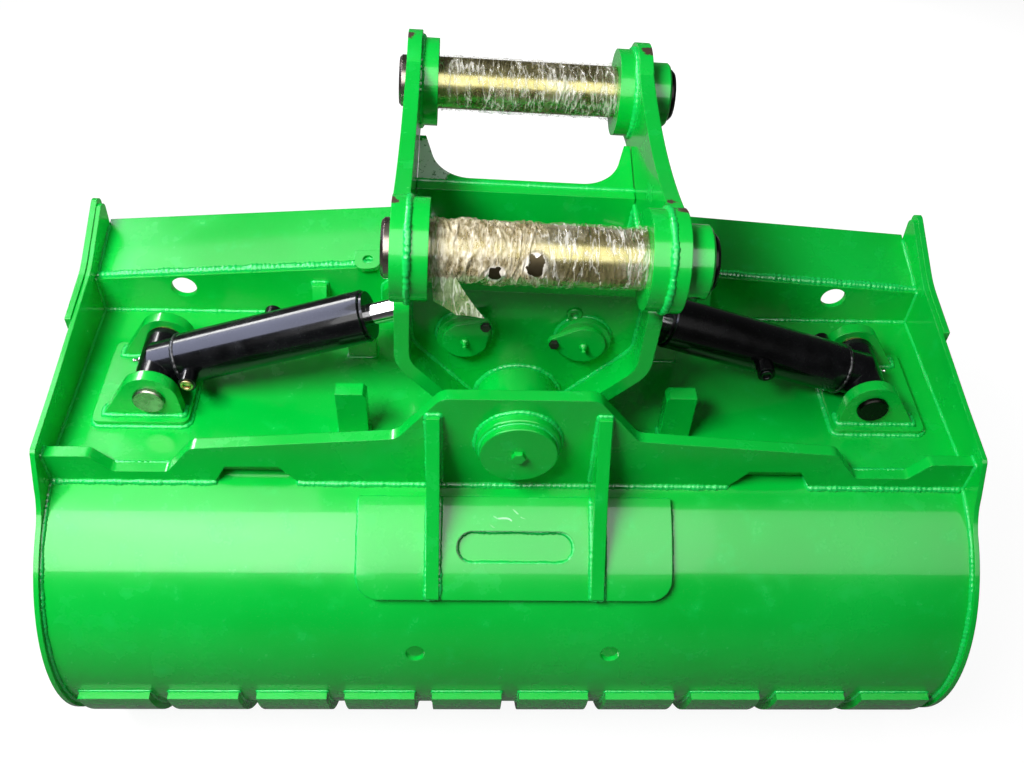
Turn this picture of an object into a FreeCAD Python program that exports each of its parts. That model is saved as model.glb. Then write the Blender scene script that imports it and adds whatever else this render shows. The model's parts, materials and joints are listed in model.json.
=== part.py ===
import FreeCAD, Part
import math
import os

V = FreeCAD.Vector

# Tilt bucket of an excavator. Millimetres, X to the right, Y towards the cutting edge, Z up.
# Shapes are drawn about the tilt pivot: y = 0 is the outer face of the rear pivot plate,
# and x = z = 0 is the pivot axis. They are moved to the resting frame when written.

# Overall width and the plates at both ends
bucket_width = 1490.0
side_cutter_thickness = 10.0
end_plate_thickness = 8.0
end_outer = bucket_width / 2 - side_cutter_thickness
end_inner = end_outer - end_plate_thickness

# Bed, walls and rolled shell
bed_depth = 86.0
bed_thickness = 15.0
rear_plate_thickness = 20.0
wall_position = 370.0
wall_thickness = 10.0
shell_radius = 270.0
shell_thickness = 10.0
shell_centre_y = 65.0
rim_height = 10.0
bed_z = -bed_depth
shell_centre_z = bed_z - bed_thickness - shell_radius
shell_bottom = shell_centre_z - shell_radius
rim_radius = shell_radius + rim_height

# Cutting edge and heel strips
edge_start = 440.0
edge_length = 150.0
edge_thickness = 20.0
edge_bevel_length = 55.0
edge_lip = 4.0
strip_thickness = 14.0
strip_width = 115.0
strip_count = 10
strip_end_gap = 21.0
strip_start_angle = 187.0
strip_flat_end = 300.0
floor_z = shell_bottom - strip_thickness
edge_tip = edge_start + edge_length

# Front wall and lip, both rising towards the middle
wall_end_z = -15.0
lip_depth = 124.0
lip_rise = 27.0
lip_thickness = 10.0
crown_slope = 0.08
wall_hole_from_end = 149.0
wall_hole_offset = end_inner - wall_hole_from_end
wall_hole_diameter = 44.0
wall_hole_z = -30.0

# End plate outline
plate_corner_y = -8.0
plate_corner_z = -26.0
plate_flat_y = 100.0
plate_flat_z = -17.0
plate_bend_y = 363.0
plate_bend_z = 11.0
plate_tip_y = 500.0
plate_tip_z = 69.0
plate_corner_radius = 12.0
plate_tip_radius = 16.0
plate_bend_radius = 150.0
mouth_sag = 26.0
pinch_y = 37.0
pinch_z = 48.0
pinch_sag = 4.3
cutter_start_y = 251.0
cutter_band = 95.0
cutter_stand_out = 3.0
cutter_foot = 152.0
cutter_start_depth = 32.0
cutter_start_corner = 2.0
cutter_heel_corner = 6.0
cutter_inner_corner = 30.0

# Rear pivot plate outline
plate_shoulder_z = -48.0
shoulder_length = 71.0
shoulder_inner = end_inner - shoulder_length
dip_length = 85.0
dip_slope_run = 29.0
dip_outer = shoulder_inner - dip_slope_run
dip_inner = dip_outer - dip_length
dip_z = bed_z + 3.0
hump_slope_run = 42.0
hump_outer = dip_inner - hump_slope_run
hump_outer_z = -27.0
hump_inner = 185.0
hump_inner_z = 1.0
crest_half = 116.0
crest_z = 92.0
dip_radius = 10.0
hump_radius = 20.0
crest_radius = 26.0
notch_from_hump = 26.0
notch_slope_run = 22.0
notch_top_length = 82.0
notch_inner_run = 30.0
notch_outer = hump_outer - notch_from_hump
notch_outer_top = notch_outer - notch_slope_run
notch_inner_top = notch_outer_top - notch_top_length
notch_inner = notch_inner_top - notch_inner_run
notch_top_z = -69.5

# Shell doubler, ribs and drain holes
doubler_thickness = 12.0
doubler_half = 245.0
doubler_start_angle = 109.0
doubler_end_angle = 142.0
doubler_corner = 34.0
slot_half = 92.0
slot_width = 50.0
slot_relief = 5.0
slot_angle = 125.2
rib_centre = 128.0
rib_thickness = 20.0
rib_top_z = 58.0
rib_top_depth = 9.0
rib_end_angle = 141.0
rib_sag = 11.0
rib_toe_run = 6.0
rib_toe_rise = 3.0
drain_offset = 155.5
drain_diameter = 30.0
drain_angle = 163.8

# Tilt pivot
pin_diameter = 80.0
running_clearance = 0.05
rear_boss_diameter = 131.0
rear_boss_length = 17.0
rear_boss_round = 4.0
cap_diameter = 119.0
cap_thickness = 12.0
cap_round = 2.0
grease_bolt_across = 19.0
grease_bolt_height = 8.0
front_support_thickness = 20.0
front_support_half = 230.0
front_support_crest = 95.0
front_support_top = 96.0
front_support_shoulder = 16.0
front_support_corner = 30.0
washer_thickness = 3.0
washer_gap = 0.3
washer_bore_clearance = 1.0
bush_wall = 10.0
tube_wall = 15.0
bush_length = 70.0
tube_diameter = pin_diameter + 2 * (bush_wall + tube_wall)

# Tilting head
tilt_limit = 35.0
rest_tilt = 2.0
head_start = 50.0
head_end = 325.0
side_plate_thickness = 22.0
side_plate_inner = 168.0
side_plate_top = 236.0
side_plate_round = 28.0
bend_z = 112.0
bend_radius = 46.0
chamfer_angle = 48.0
cheek_thickness = 20.0
rear_cheek_y = 97.0
rear_cheek_top = 215.0
front_cheek_y = 285.0
front_cheek_top = 250.0
window_start = 135.0
window_end = 235.0
window_top = 242.0
window_bottom = 30.0
window_corner = 22.0

# Ears and hanger pins
pin_gap = 284.0
boss_length = 27.0
ear_thickness = 22.0
boss_diameter = 136.0
rear_hanger_y = 39.0
rear_hanger_z = 334.0
front_hanger_y = 478.0
front_hanger_z = 317.0
rear_lobe_radius = 70.0
front_lobe_radius = 79.0
rear_lobe_top_angle = 52.0
rear_lobe_under_angle = -48.0
front_lobe_top_angle = 128.0
front_lobe_under_angle = -100.0
ear_neck = 30.0
ear_saddle = 18.0
ear_belly = 9.0
hanger_diameter = 80.0
hanger_head = 13.0
hanger_chamfer = 4.0
collar_diameter = 100.0
collar_length = 36.0
collar_pin_out = 9.0
collar_chamfer = 3.0
collar_bolt_diameter = 12.0
collar_bolt_head = 18.0
collar_bolt_head_height = 12.0
collar_bolt_socket = 10.0
collar_bolt_angle = 38.0
collar_recess = 3.0
head_clearance = 0.5
ear_inner = pin_gap / 2 + boss_length
ear_outer = ear_inner + ear_thickness
rear_lobe_far_angle = 180 + (rear_lobe_top_angle + rear_lobe_under_angle) / 2
front_lobe_far_angle = (front_lobe_top_angle + front_lobe_under_angle) / 2

# Cross plate between the ears
cross_thickness = 16.0
cross_reach = 95.0
cross_rise = 18.0
cross_web = 10.0
cross_cut_half = 134.0
cross_cut_flare = 34.0
cross_cut_corner = 62.0

# Stop blocks on the bed
stop_inner = 236.0
stop_width = 48.0
stop_thickness = 25.0
stop_height = 98.0
stop_gap = 0.8
rear_stop_y = 80.0
front_stop_y = 259.0

# Cylinder lugs and pads
lug_from_end = 143.0
lug_pin_x = end_inner - lug_from_end
lug_pin_z = -35.0
lug_start = 108.0
lug_thickness = 20.0
lug_spacing = 154.0
lug_radius = 45.0
lug_foot_outer = 80.0
lug_foot_inner = 48.0
pad_thickness = 12.0
pad_half = 77.0
pad_shift = 20.0
pad_corner = 12.0
pad_margin = 14.0
base_pin_diameter = 50.0
base_pin_out = 7.0
base_pin_chamfer = 2.0
bronze_flange = 2.5
side_gap = 0.5

# Tilt cylinders, measured along their axis from the base pin
rod_pin_x = 88.0
rod_pin_z = 132.0
rod_pin_diameter = 50.0
base_eye_diameter = 64.0
bronze_wall = 2.5
barrel_diameter = 84.0
barrel_bore = 70.0
barrel_start = 48.0
barrel_end = 366.0
base_plug_length = 24.0
base_plug_diameter = 76.0
barrel_chamfer = 2.0
bush_gap = 12.0
flange_step = 1.0
gland_length = 46.0
gland_flange = 5.0
gland_step = 4.0
rod_diameter = 35.0
rod_reach = 350.0
piston_length = 38.0
rod_eye_diameter = 74.0
rod_eye_width = 60.0
rod_eye_chamfer = 3.0
rod_neck_wall = 8.0
rod_neck_length = 12.0
rod_weld = 3.0
port_diameter = 28.0
port_bore = 11.8
port_depth = 14.0
base_port_at = 64.0
rod_port_at = 196.0
port_out = 22.0
port_sink = 4.0

# Rod pin bosses and keepers on the cheeks
rod_boss_diameter = 82.0
rod_boss_length = 12.0
rod_pin_gap = 0.5
keeper_thickness = 8.0
keeper_radius = 33.0
keeper_tail_radius = 9.0
keeper_tail_reach = 44.0
keeper_tails = {-1: 48.0, 1: 176.0}
keeper_bolt_across = 13.0
keeper_bolt_height = 6.0

# Small brackets
tab_x = -253.0
tab_width = 46.0
tab_length = 40.0
tab_overhang = 7.0
tab_thickness = 9.0
tab_hole = 18.0
tab_round = 17.0
wall_rib_x = 339.0
wall_rib_thickness = 25.0
wall_rib_foot = 46.0
wall_rib_height = 74.0
wall_rib_top = 12.0
wall_rib_toe = 20.0

cylinder_y = lug_start + lug_spacing / 2
front_support_y = wall_position - front_support_thickness
strip_back = (shell_radius + strip_thickness) * math.cos(math.radians(strip_start_angle - 180))
back_y = shell_centre_y - max(rim_radius, strip_back)
to_rest = V(0, -(edge_tip + back_y) / 2, -floor_z)


# Outline helpers

def curve_from(points, to_space):
    # each point is (a, b, corner radius, sagitta of the stretch that leaves it)
    count = len(points)
    entries = []
    for i, (a, b, radius, _) in enumerate(points):
        here = V(a, b, 0)
        if radius == 0:
            entries.append((here, here, None))
            continue
        back = V(points[i - 1][0], points[i - 1][1], 0) - here
        ahead = V(points[(i + 1) % count][0], points[(i + 1) % count][1], 0) - here
        back.normalize()
        ahead.normalize()
        half = math.acos(max(-1.0, min(1.0, back.dot(ahead)))) / 2
        reach = radius / math.tan(half)
        middle = back + ahead
        middle.normalize()
        crown = here + middle * (radius / math.sin(half) - radius)
        entries.append((here + back * reach, here + ahead * reach, crown))
    edges = []
    for i in range(count):
        start, leave, crown = entries[i]
        arrive = entries[(i + 1) % count][0]
        sag = points[i][3]
        if crown is not None:
            edges.append(Part.Arc(to_space(start), to_space(crown), to_space(leave)).toShape())
        if sag:
            chord = arrive - leave
            side = V(-chord.y, chord.x, 0)
            side.normalize()
            middle = (leave + arrive) * 0.5 + side * sag
            edges.append(Part.Arc(to_space(leave), to_space(middle), to_space(arrive)).toShape())
        elif (arrive - leave).Length > 1e-6:
            edges.append(Part.makeLine(to_space(leave), to_space(arrive)))
    return Part.Face(Part.Wire(edges))


def across(points, x, thickness):
    # a plate drawn in Y and Z, standing across the bucket
    return curve_from(points, lambda p: V(x, p.x, p.y)).extrude(V(thickness, 0, 0))


def along(points, y, thickness):
    # a plate drawn in X and Z, facing the operator
    return curve_from(points, lambda p: V(p.x, y, p.y)).extrude(V(0, thickness, 0))


def corners(pairs, radius=0.0):
    return [(a, b, radius, 0.0) for a, b in pairs]


def rod_y(x, z, diameter, start, end):
    return Part.makeCylinder(diameter / 2, end - start, V(x, start, z), V(0, 1, 0))


def rod_x(y, z, diameter, start, end):
    return Part.makeCylinder(diameter / 2, end - start, V(start, y, z), V(1, 0, 0))


def ring_y(x, z, outer, inner, start, end):
    return rod_y(x, z, outer, start, end).cut(rod_y(x, z, inner, start - 1, end + 1))


def hexagon(centre, axis, across_flats, height):
    nut = Part.Face(Part.makePolygon(
        [V(across_flats / math.sqrt(3) * math.cos(math.radians(60 * i)),
           across_flats / math.sqrt(3) * math.sin(math.radians(60 * i)), 0) for i in range(7)]))
    shape = nut.extrude(V(0, 0, height))
    shape.Placement = FreeCAD.Placement(centre, FreeCAD.Rotation(V(0, 0, 1), axis))
    return shape


def on_shell(radius, degrees):
    angle = math.radians(degrees)
    return (shell_centre_y + radius * math.cos(angle), shell_centre_z + radius * math.sin(angle))


def shell_cylinder(radius):
    return rod_x(shell_centre_y, shell_centre_z, 2 * radius, -bucket_width, bucket_width)


def shell_height(y):
    return shell_centre_z + math.sqrt(shell_radius ** 2 - (y - shell_centre_y) ** 2)


def mirrored(shape):
    return shape.mirror(V(0, 0, 0), V(1, 0, 0))


def write(name, shape):
    moved = shape.copy()
    moved.translate(to_rest)
    moved.exportStep("parts/" + name + ".step")


def write_head(name, shape):
    tilted = shape.copy()
    tilted.rotate(V(0, 0, 0), V(0, 1, 0), rest_tilt)
    write(name, tilted)


# Bucket body

def shell():
    top = (shell_centre_y, shell_centre_z + shell_radius)
    back = on_shell(shell_radius, 180)
    bottom = (shell_centre_y, shell_bottom)
    inner = shell_radius - shell_thickness
    inner_back = on_shell(inner, 180)
    edges = [
        Part.Arc(V(0, *top), V(0, *back), V(0, *bottom)).toShape(),
        Part.makeLine(V(0, *bottom), V(0, edge_start, shell_bottom)),
        Part.makeLine(V(0, edge_start, shell_bottom), V(0, edge_start, shell_bottom + shell_thickness)),
        Part.makeLine(V(0, edge_start, shell_bottom + shell_thickness),
                      V(0, shell_centre_y, shell_bottom + shell_thickness)),
        Part.Arc(V(0, shell_centre_y, shell_centre_z - inner), V(0, *inner_back),
                 V(0, shell_centre_y, shell_centre_z + inner)).toShape(),
        Part.makeLine(V(0, shell_centre_y, shell_centre_z + inner), V(0, *top)),
    ]
    plate = Part.Face(Part.Wire(edges)).extrude(V(2 * end_inner, 0, 0))
    plate.translate(V(-end_inner, 0, 0))
    y, z = on_shell(shell_radius + shell_thickness, drain_angle)
    inward = V(0, shell_centre_y - y, shell_centre_z - z)
    for side in (-1, 1):
        plate = plate.cut(Part.makeCylinder(drain_diameter / 2, 3 * shell_thickness,
                                            V(side * drain_offset, y, z), inward))
    return plate


def bed_plate():
    length = wall_position + wall_thickness - rear_plate_thickness
    return Part.makeBox(2 * end_inner, length, bed_thickness,
                        V(-end_inner, rear_plate_thickness, bed_z - bed_thickness))


def rear_pivot_plate():
    # the foot is cut to the round of the shell below
    foot = bed_z - bed_thickness - shell_radius / 2
    half = [
        (end_inner, foot, 0, 0), (end_inner, plate_shoulder_z, 0, 0),
        (shoulder_inner, plate_shoulder_z, dip_radius, 0), (dip_outer, dip_z, dip_radius, 0),
        (dip_inner, dip_z, dip_radius, 0), (hump_outer, hump_outer_z, hump_radius, 0),
        (hump_inner, hump_inner_z, crest_radius, 0), (crest_half, crest_z, crest_radius, 0),
    ]
    outline = half + [(-a, b, r, s) for a, b, r, s in reversed(half)]
    plate = along(outline, 0, rear_plate_thickness)
    plate = plate.cut(shell_cylinder(shell_radius))
    for side in (-1, 1):
        notch = corners([(side * notch_outer, foot), (side * notch_outer, shell_height(0)),
                         (side * notch_outer_top, notch_top_z), (side * notch_inner_top, notch_top_z),
                         (side * notch_inner, shell_height(0)), (side * notch_inner, foot)])
        plate = plate.cut(along(notch, -1, rear_plate_thickness + 2))
    bore = pin_diameter + 2 * running_clearance
    return plate.cut(rod_y(0, 0, bore, -1, rear_plate_thickness + 1))


def front_wall():
    base = bed_z
    middle_z = wall_end_z + crown_slope * end_inner
    wall = along(corners([(-end_inner, base), (end_inner, base), (end_inner, wall_end_z),
                          (0, middle_z), (-end_inner, wall_end_z)]), wall_position, wall_thickness)
    for side in (-1, 1):
        wall = wall.cut(rod_y(side * wall_hole_offset, wall_hole_z, wall_hole_diameter,
                              wall_position - 1, wall_position + wall_thickness + 1))
    return wall


def lip_panel():
    # a sheet that leans back from the wall and is crowned in the middle
    def section(x, z):
        run = math.hypot(lip_depth, lip_rise)
        drop = lip_thickness * run / lip_depth
        start = wall_position + wall_thickness
        return Part.makePolygon([V(x, start, z), V(x, start + lip_depth, z + lip_rise),
                                 V(x, start + lip_depth, z + lip_rise - drop),
                                 V(x, start, z - drop), V(x, start, z)])
    middle_z = wall_end_z + crown_slope * end_inner
    left = section(-end_inner, wall_end_z)
    right = section(end_inner, wall_end_z)
    return Part.makeLoft([left, section(0, middle_z), right], True, True)


def plate_top_at(y):
    slope = (plate_bend_z - plate_flat_z) / (plate_bend_y - plate_flat_y)
    return plate_flat_z + slope * (y - plate_flat_y)


def end_plate():
    join_y, join_z = on_shell(rim_radius, 120)
    rim_bottom = shell_centre_z - rim_radius
    edges = [
        Part.Arc(V(0, join_y, join_z), V(0, *on_shell(rim_radius, 190)),
                 V(0, shell_centre_y, rim_bottom)).toShape(),
        Part.makeLine(V(0, shell_centre_y, rim_bottom), V(0, edge_start, rim_bottom)),
    ]
    # from there the plate stands on the cutting edge
    step = V(0, edge_start, floor_z + edge_thickness)
    toe = V(0, edge_tip - edge_bevel_length, floor_z + edge_thickness)
    edges.append(Part.makeLine(V(0, edge_start, rim_bottom), step))
    edges.append(Part.makeLine(step, toe))
    tip = V(0, plate_tip_y, plate_tip_z)
    mouth_middle = (toe + tip) * 0.5 - V(0, mouth_sag, 0)
    edges.append(Part.Arc(toe, mouth_middle, tip).toShape())
    flat = V(0, plate_flat_y, plate_flat_z)
    corner = V(0, plate_corner_y, plate_corner_z)
    pinch = V(0, join_y + pinch_y, join_z + pinch_z)
    bend = V(0, plate_bend_y, plate_bend_z)
    edges.append(Part.makeLine(tip, bend))
    edges.append(Part.makeLine(bend, flat))
    edges.append(Part.makeLine(flat, corner))
    edges.append(Part.makeLine(corner, pinch))
    outward = V(0, pinch_z, -pinch_y)
    outward.normalize()
    bow = (pinch + V(0, join_y, join_z)) * 0.5 + outward * pinch_sag
    edges.append(Part.Arc(pinch, bow, V(0, join_y, join_z)).toShape())
    plate = Part.Face(Part.Wire(edges)).extrude(V(end_plate_thickness, 0, 0))
    plate.translate(V(end_inner, 0, 0))
    for y, z, radius in ((plate_corner_y, plate_corner_z, plate_corner_radius),
                         (plate_tip_y, plate_tip_z, plate_tip_radius),
                         (plate_bend_y, plate_bend_z, plate_bend_radius)):
        plate = plate.makeFillet(radius, [e for e in plate.Edges if is_across(e, y, z)])
    return plate


def is_across(edge, y, z):
    first, last = edge.Vertexes[0].Point, edge.Vertexes[-1].Point
    return all(abs(p.y - y) < 0.01 and abs(p.z - z) < 0.01 for p in (first, last))


def side_cutter():
    top = cutter_stand_out
    start_z = plate_top_at(cutter_start_y)
    tip_y = plate_tip_y + top
    tip_z = plate_tip_z + top
    outline = [
        (cutter_start_y, start_z + top, cutter_start_corner, 0),
        (plate_bend_y, plate_bend_z + top, plate_bend_radius, 0),
        (tip_y, tip_z, plate_tip_radius, -mouth_sag),
        (edge_tip, floor_z, 0, 0),
        (edge_tip - cutter_foot, floor_z, 0, mouth_sag),
        (tip_y - cutter_band, tip_z - cutter_band, cutter_inner_corner, 0),
        (cutter_start_y, start_z - cutter_start_depth, cutter_heel_corner, 0),
    ]
    return across(outline, end_outer, side_cutter_thickness)


def cutting_edge():
    outline = corners([
        (edge_start, floor_z), (edge_tip, floor_z), (edge_tip, floor_z + edge_lip),
        (edge_tip - edge_bevel_length, floor_z + edge_thickness), (edge_start, floor_z + edge_thickness)])
    return across(outline, -end_outer, 2 * end_outer)


def heel_strip(centre):
    outer = shell_radius + strip_thickness
    a = on_shell(shell_radius, strip_start_angle)
    b = on_shell(outer, strip_start_angle)
    half_turn = (strip_start_angle + 270) / 2
    edges = [
        Part.makeLine(V(0, *a), V(0, *b)),
        Part.Arc(V(0, *b), V(0, *on_shell(outer, half_turn)),
                 V(0, shell_centre_y, shell_centre_z - outer)).toShape(),
        Part.makeLine(V(0, shell_centre_y, shell_centre_z - outer), V(0, strip_flat_end, floor_z)),
        Part.makeLine(V(0, strip_flat_end, floor_z), V(0, strip_flat_end, shell_bottom)),
        Part.makeLine(V(0, strip_flat_end, shell_bottom), V(0, shell_centre_y, shell_bottom)),
        Part.Arc(V(0, shell_centre_y, shell_bottom), V(0, *on_shell(shell_radius, half_turn)),
                 V(0, *a)).toShape(),
    ]
    strip = Part.Face(Part.Wire(edges)).extrude(V(strip_width, 0, 0))
    strip.translate(V(centre - strip_width / 2, 0, 0))
    return strip


def heel_strips():
    first = -end_inner + strip_end_gap + strip_width / 2
    pitch = -2 * first / (strip_count - 1)
    return Part.makeCompound([heel_strip(first + pitch * i) for i in range(strip_count)])


def shell_doubler():
    outer = shell_radius + doubler_thickness
    plate = shell_cylinder(outer).cut(shell_cylinder(shell_radius))
    start = on_shell(outer * 2, doubler_start_angle)
    end = on_shell(outer * 2, doubler_end_angle)
    wedge = across(corners([(shell_centre_y, shell_centre_z), start, end]), -doubler_half, 2 * doubler_half)
    plate = plate.common(wedge)
    # the two lower corners are rounded by cutting along the plate's normal there
    depth = 3 * doubler_thickness
    y, z = on_shell(outer + doubler_thickness, doubler_end_angle)
    angle = math.radians(doubler_end_angle)
    normal = V(0, math.cos(angle), math.sin(angle))
    tangent = V(0, math.sin(angle), -math.cos(angle))
    for side in (-1, 1):
        corner = V(side * doubler_half, y, z)
        centre = corner + V(-side * doubler_corner, 0, 0) + tangent * doubler_corner
        block = Part.Face(Part.makePolygon([
            corner + V(side, 0, 0) - tangent, corner + V(side, 0, 0) + tangent * doubler_corner,
            centre, corner + V(-side * doubler_corner, 0, 0) - tangent,
            corner + V(side, 0, 0) - tangent])).extrude(normal * -depth)
        keep = Part.makeCylinder(doubler_corner, depth, centre, normal * -1)
        plate = plate.cut(block.cut(keep))
    return plate.cut(slot_cutter())


def slot_cutter():
    y, z = on_shell(shell_radius + 2 * doubler_thickness, slot_angle)
    angle = math.radians(slot_angle)
    normal = V(0, math.cos(angle), math.sin(angle))
    tangent = V(0, math.sin(angle), -math.cos(angle))
    radius = slot_width / 2
    depth = 2 * doubler_thickness + slot_relief
    middle = V(0, y, z)
    reach = V(slot_half - radius, 0, 0)
    body = Part.Face(Part.makePolygon([
        middle - reach - tangent * radius, middle + reach - tangent * radius,
        middle + reach + tangent * radius, middle - reach + tangent * radius,
        middle - reach - tangent * radius])).extrude(normal * -depth)
    for side in (-1, 1):
        body = body.fuse(Part.makeCylinder(radius, depth, middle + reach * side, normal * -1))
    return body.removeSplitter()


def rear_rib(centre):
    foot_y, foot_z = on_shell(shell_radius + doubler_thickness, rib_end_angle)
    inside_y, inside_z = on_shell(shell_radius / 2, rib_end_angle)
    outline = [
        (0, rib_top_z, 0, 0), (-rib_top_depth, rib_top_z, 0, rib_sag),
        (foot_y - rib_toe_run, foot_z + rib_toe_rise, 0, 0), (inside_y, inside_z, 0, 0), (0, inside_z, 0, 0)]
    rib = across(outline, centre - rib_thickness / 2, rib_thickness)
    rib = rib.cut(shell_cylinder(shell_radius + doubler_thickness))
    pieces = sorted(rib.Solids, key=lambda s: s.Volume)
    return pieces[-1]


def rear_ribs():
    return Part.makeCompound([rear_rib(side * rib_centre) for side in (-1, 1)])


def front_pivot_plate():
    foot = front_support_half
    outline = [
        (foot, bed_z, 0, 0), (foot, wall_end_z, front_support_shoulder, 0),
        (front_support_top, front_support_crest, front_support_corner, 0)]
    outline += [(-a, b, r, s) for a, b, r, s in reversed(outline)]
    plate = along(outline, front_support_y, front_support_thickness)
    bore = pin_diameter + 2 * running_clearance
    return plate.cut(rod_y(0, 0, bore, front_support_y - 1, wall_position + 1))


def pivot_boss():
    bore = pin_diameter + 2 * running_clearance
    ring = rod_y(0, 0, rear_boss_diameter, -rear_boss_length, 0)
    ring = ring.makeFillet(rear_boss_round, [e for e in ring.Edges
                               if e.Closed and abs(e.CenterOfMass.y + rear_boss_length) < 0.01])
    return ring.cut(rod_y(0, 0, bore, -rear_boss_length - 1, 1))


def pivot_pin():
    return rod_y(0, 0, pin_diameter, -rear_boss_length, front_support_y + front_support_thickness)


def pivot_cap():
    cap = rod_y(0, 0, cap_diameter, -rear_boss_length - cap_thickness, -rear_boss_length)
    return cap.makeFillet(cap_round, [e for e in cap.Edges
                              if e.Closed and e.CenterOfMass.y < -rear_boss_length - 1])


def grease_bolt():
    face = -rear_boss_length - cap_thickness
    return hexagon(V(0, face, 0), V(0, -1, 0), grease_bolt_across, grease_bolt_height)


def thrust_washers():
    bore = pin_diameter + washer_bore_clearance
    rings = []
    for start in (rear_plate_thickness, front_support_y - washer_thickness):
        rings.append(ring_y(0, 0, tube_diameter, bore, start, start + washer_thickness))
    return Part.makeCompound(rings)


def stop_block(side, y):
    # the sloping shoulder lies along the head's side plate when the head is fully tilted
    turn = math.radians(tilt_limit)
    wall = side_plate_inner + side_plate_thickness
    nx, nz = math.cos(turn), -math.sin(turn)
    reach = wall + stop_gap
    inner_z = (reach - stop_inner * nx) / nz
    top_z = bed_z + stop_height
    top_x = (reach - top_z * nz) / nx
    outline = corners([
        (side * stop_inner, bed_z), (side * (stop_inner + stop_width), bed_z),
        (side * (stop_inner + stop_width), top_z), (side * top_x, top_z), (side * stop_inner, inner_z)])
    return along(outline, y, stop_thickness)


def stop_blocks():
    return Part.makeCompound([stop_block(side, y) for side in (-1, 1) for y in (rear_stop_y, front_stop_y)])


def lug_pads():
    start = lug_start - pad_margin
    length = lug_spacing + 2 * pad_margin
    pads = []
    for side in (-1, 1):
        centre = side * (lug_pin_x + pad_shift)
        pad = Part.makeBox(2 * pad_half, length, pad_thickness, V(centre - pad_half, start, bed_z))
        pad = pad.makeFillet(pad_corner, [e for e in pad.Edges
                                          if abs(e.tangentAt(e.FirstParameter).z) > 0.9])
        pads.append(pad)
    return Part.makeCompound(pads)


def lug(side, y):
    # the outer flank leans further than the inner one
    foot = bed_z + pad_thickness
    height = lug_pin_z - foot
    eye = V(0, y, lug_pin_z)

    def tangent_point(foot_x, turn):
        reach = math.hypot(foot_x, height)
        angle = math.atan2(-height, foot_x) + turn * math.acos(lug_radius / reach)
        return eye + V(lug_radius * math.cos(angle), 0, lug_radius * math.sin(angle))

    outer = tangent_point(lug_foot_outer, 1)
    inner = tangent_point(-lug_foot_inner, -1)
    outer_foot = V(lug_foot_outer, y, foot)
    inner_foot = V(-lug_foot_inner, y, foot)
    edges = [
        Part.makeLine(inner_foot, outer_foot), Part.makeLine(outer_foot, outer),
        Part.Arc(outer, eye + V(0, 0, lug_radius), inner).toShape(), Part.makeLine(inner, inner_foot),
    ]
    plate = Part.Face(Part.Wire(edges)).extrude(V(0, lug_thickness, 0))
    bore = base_pin_diameter + 2 * running_clearance
    plate = plate.cut(rod_y(0, lug_pin_z, bore, y - 1, y + lug_thickness + 1))
    plate.translate(V(lug_pin_x, 0, 0))
    return plate if side > 0 else mirrored(plate)


def cylinder_lugs():
    last = lug_start + lug_spacing - lug_thickness
    return Part.makeCompound([lug(side, y) for side in (-1, 1) for y in (lug_start, last)])


def base_pin(side):
    pin = rod_y(side * lug_pin_x, lug_pin_z, base_pin_diameter,
                lug_start - base_pin_out, lug_start + lug_spacing + base_pin_out)
    return pin.makeChamfer(base_pin_chamfer, [e for e in pin.Edges if e.Closed])


def lifting_tab():
    # a small plate that lies on the lip and reaches over the wall
    top_z = wall_end_z + crown_slope * (end_inner - abs(tab_x))
    back = wall_position + wall_thickness
    width = tab_width / 2
    start = -wall_thickness - tab_overhang
    outline = [
        (-width, start, tab_round, 0), (width, start, tab_round, 0),
        (width, start + tab_length, 0, 0), (-width, start + tab_length, 0, 0)]
    tab = curve_from(outline, lambda p: p).extrude(V(0, 0, tab_thickness))
    hole_y = start + tab_length / 2
    tab = tab.cut(Part.makeCylinder(tab_hole / 2, 3 * tab_thickness, V(0, hole_y, -tab_thickness)))
    tab.rotate(V(0, 0, 0), V(1, 0, 0), math.degrees(math.atan2(lip_rise, lip_depth)))
    side = 1 if tab_x > 0 else -1
    tab.rotate(V(0, 0, 0), V(0, 1, 0), side * math.degrees(math.atan(crown_slope)))
    tab.translate(V(tab_x, back, top_z))
    return tab.cut(front_wall()).cut(lip_panel())


def wall_ribs():
    ribs = []
    for side in (-1, 1):
        outline = corners([(wall_position, bed_z), (wall_position, bed_z + wall_rib_height),
                           (wall_position - wall_rib_top, bed_z + wall_rib_height),
                           (wall_position - wall_rib_foot, bed_z + wall_rib_toe), (wall_position - wall_rib_foot, bed_z)])
        ribs.append(across(outline, side * wall_rib_x - wall_rib_thickness / 2, wall_rib_thickness))
    return Part.makeCompound(ribs)


# Tilting head, drawn upright

def tube_span():
    start = rear_plate_thickness + washer_thickness + washer_gap
    return start, front_support_y - washer_thickness - washer_gap


def pivot_tube():
    start, end = tube_span()
    inner = pin_diameter + 2 * bush_wall
    return ring_y(0, 0, tube_diameter, inner, start, end)


def pivot_bushes():
    start, end = tube_span()
    outer = pin_diameter + 2 * bush_wall
    inner = pin_diameter + 2 * running_clearance
    return Part.makeCompound([ring_y(0, 0, outer, inner, start, start + bush_length),
                              ring_y(0, 0, outer, inner, end - bush_length, end)])


def chamfer_foot():
    # where the inner face of the sloping side plate meets the pivot tube
    slope = math.radians(chamfer_angle)
    down = V(-math.cos(slope), 0, -math.sin(slope))
    start = V(side_plate_inner, 0, bend_z)
    along_slope = -start.dot(down)
    nearest = (start + down * along_slope).Length
    radius = tube_diameter / 2
    return start + down * (along_slope - math.sqrt(radius ** 2 - nearest ** 2))


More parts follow.
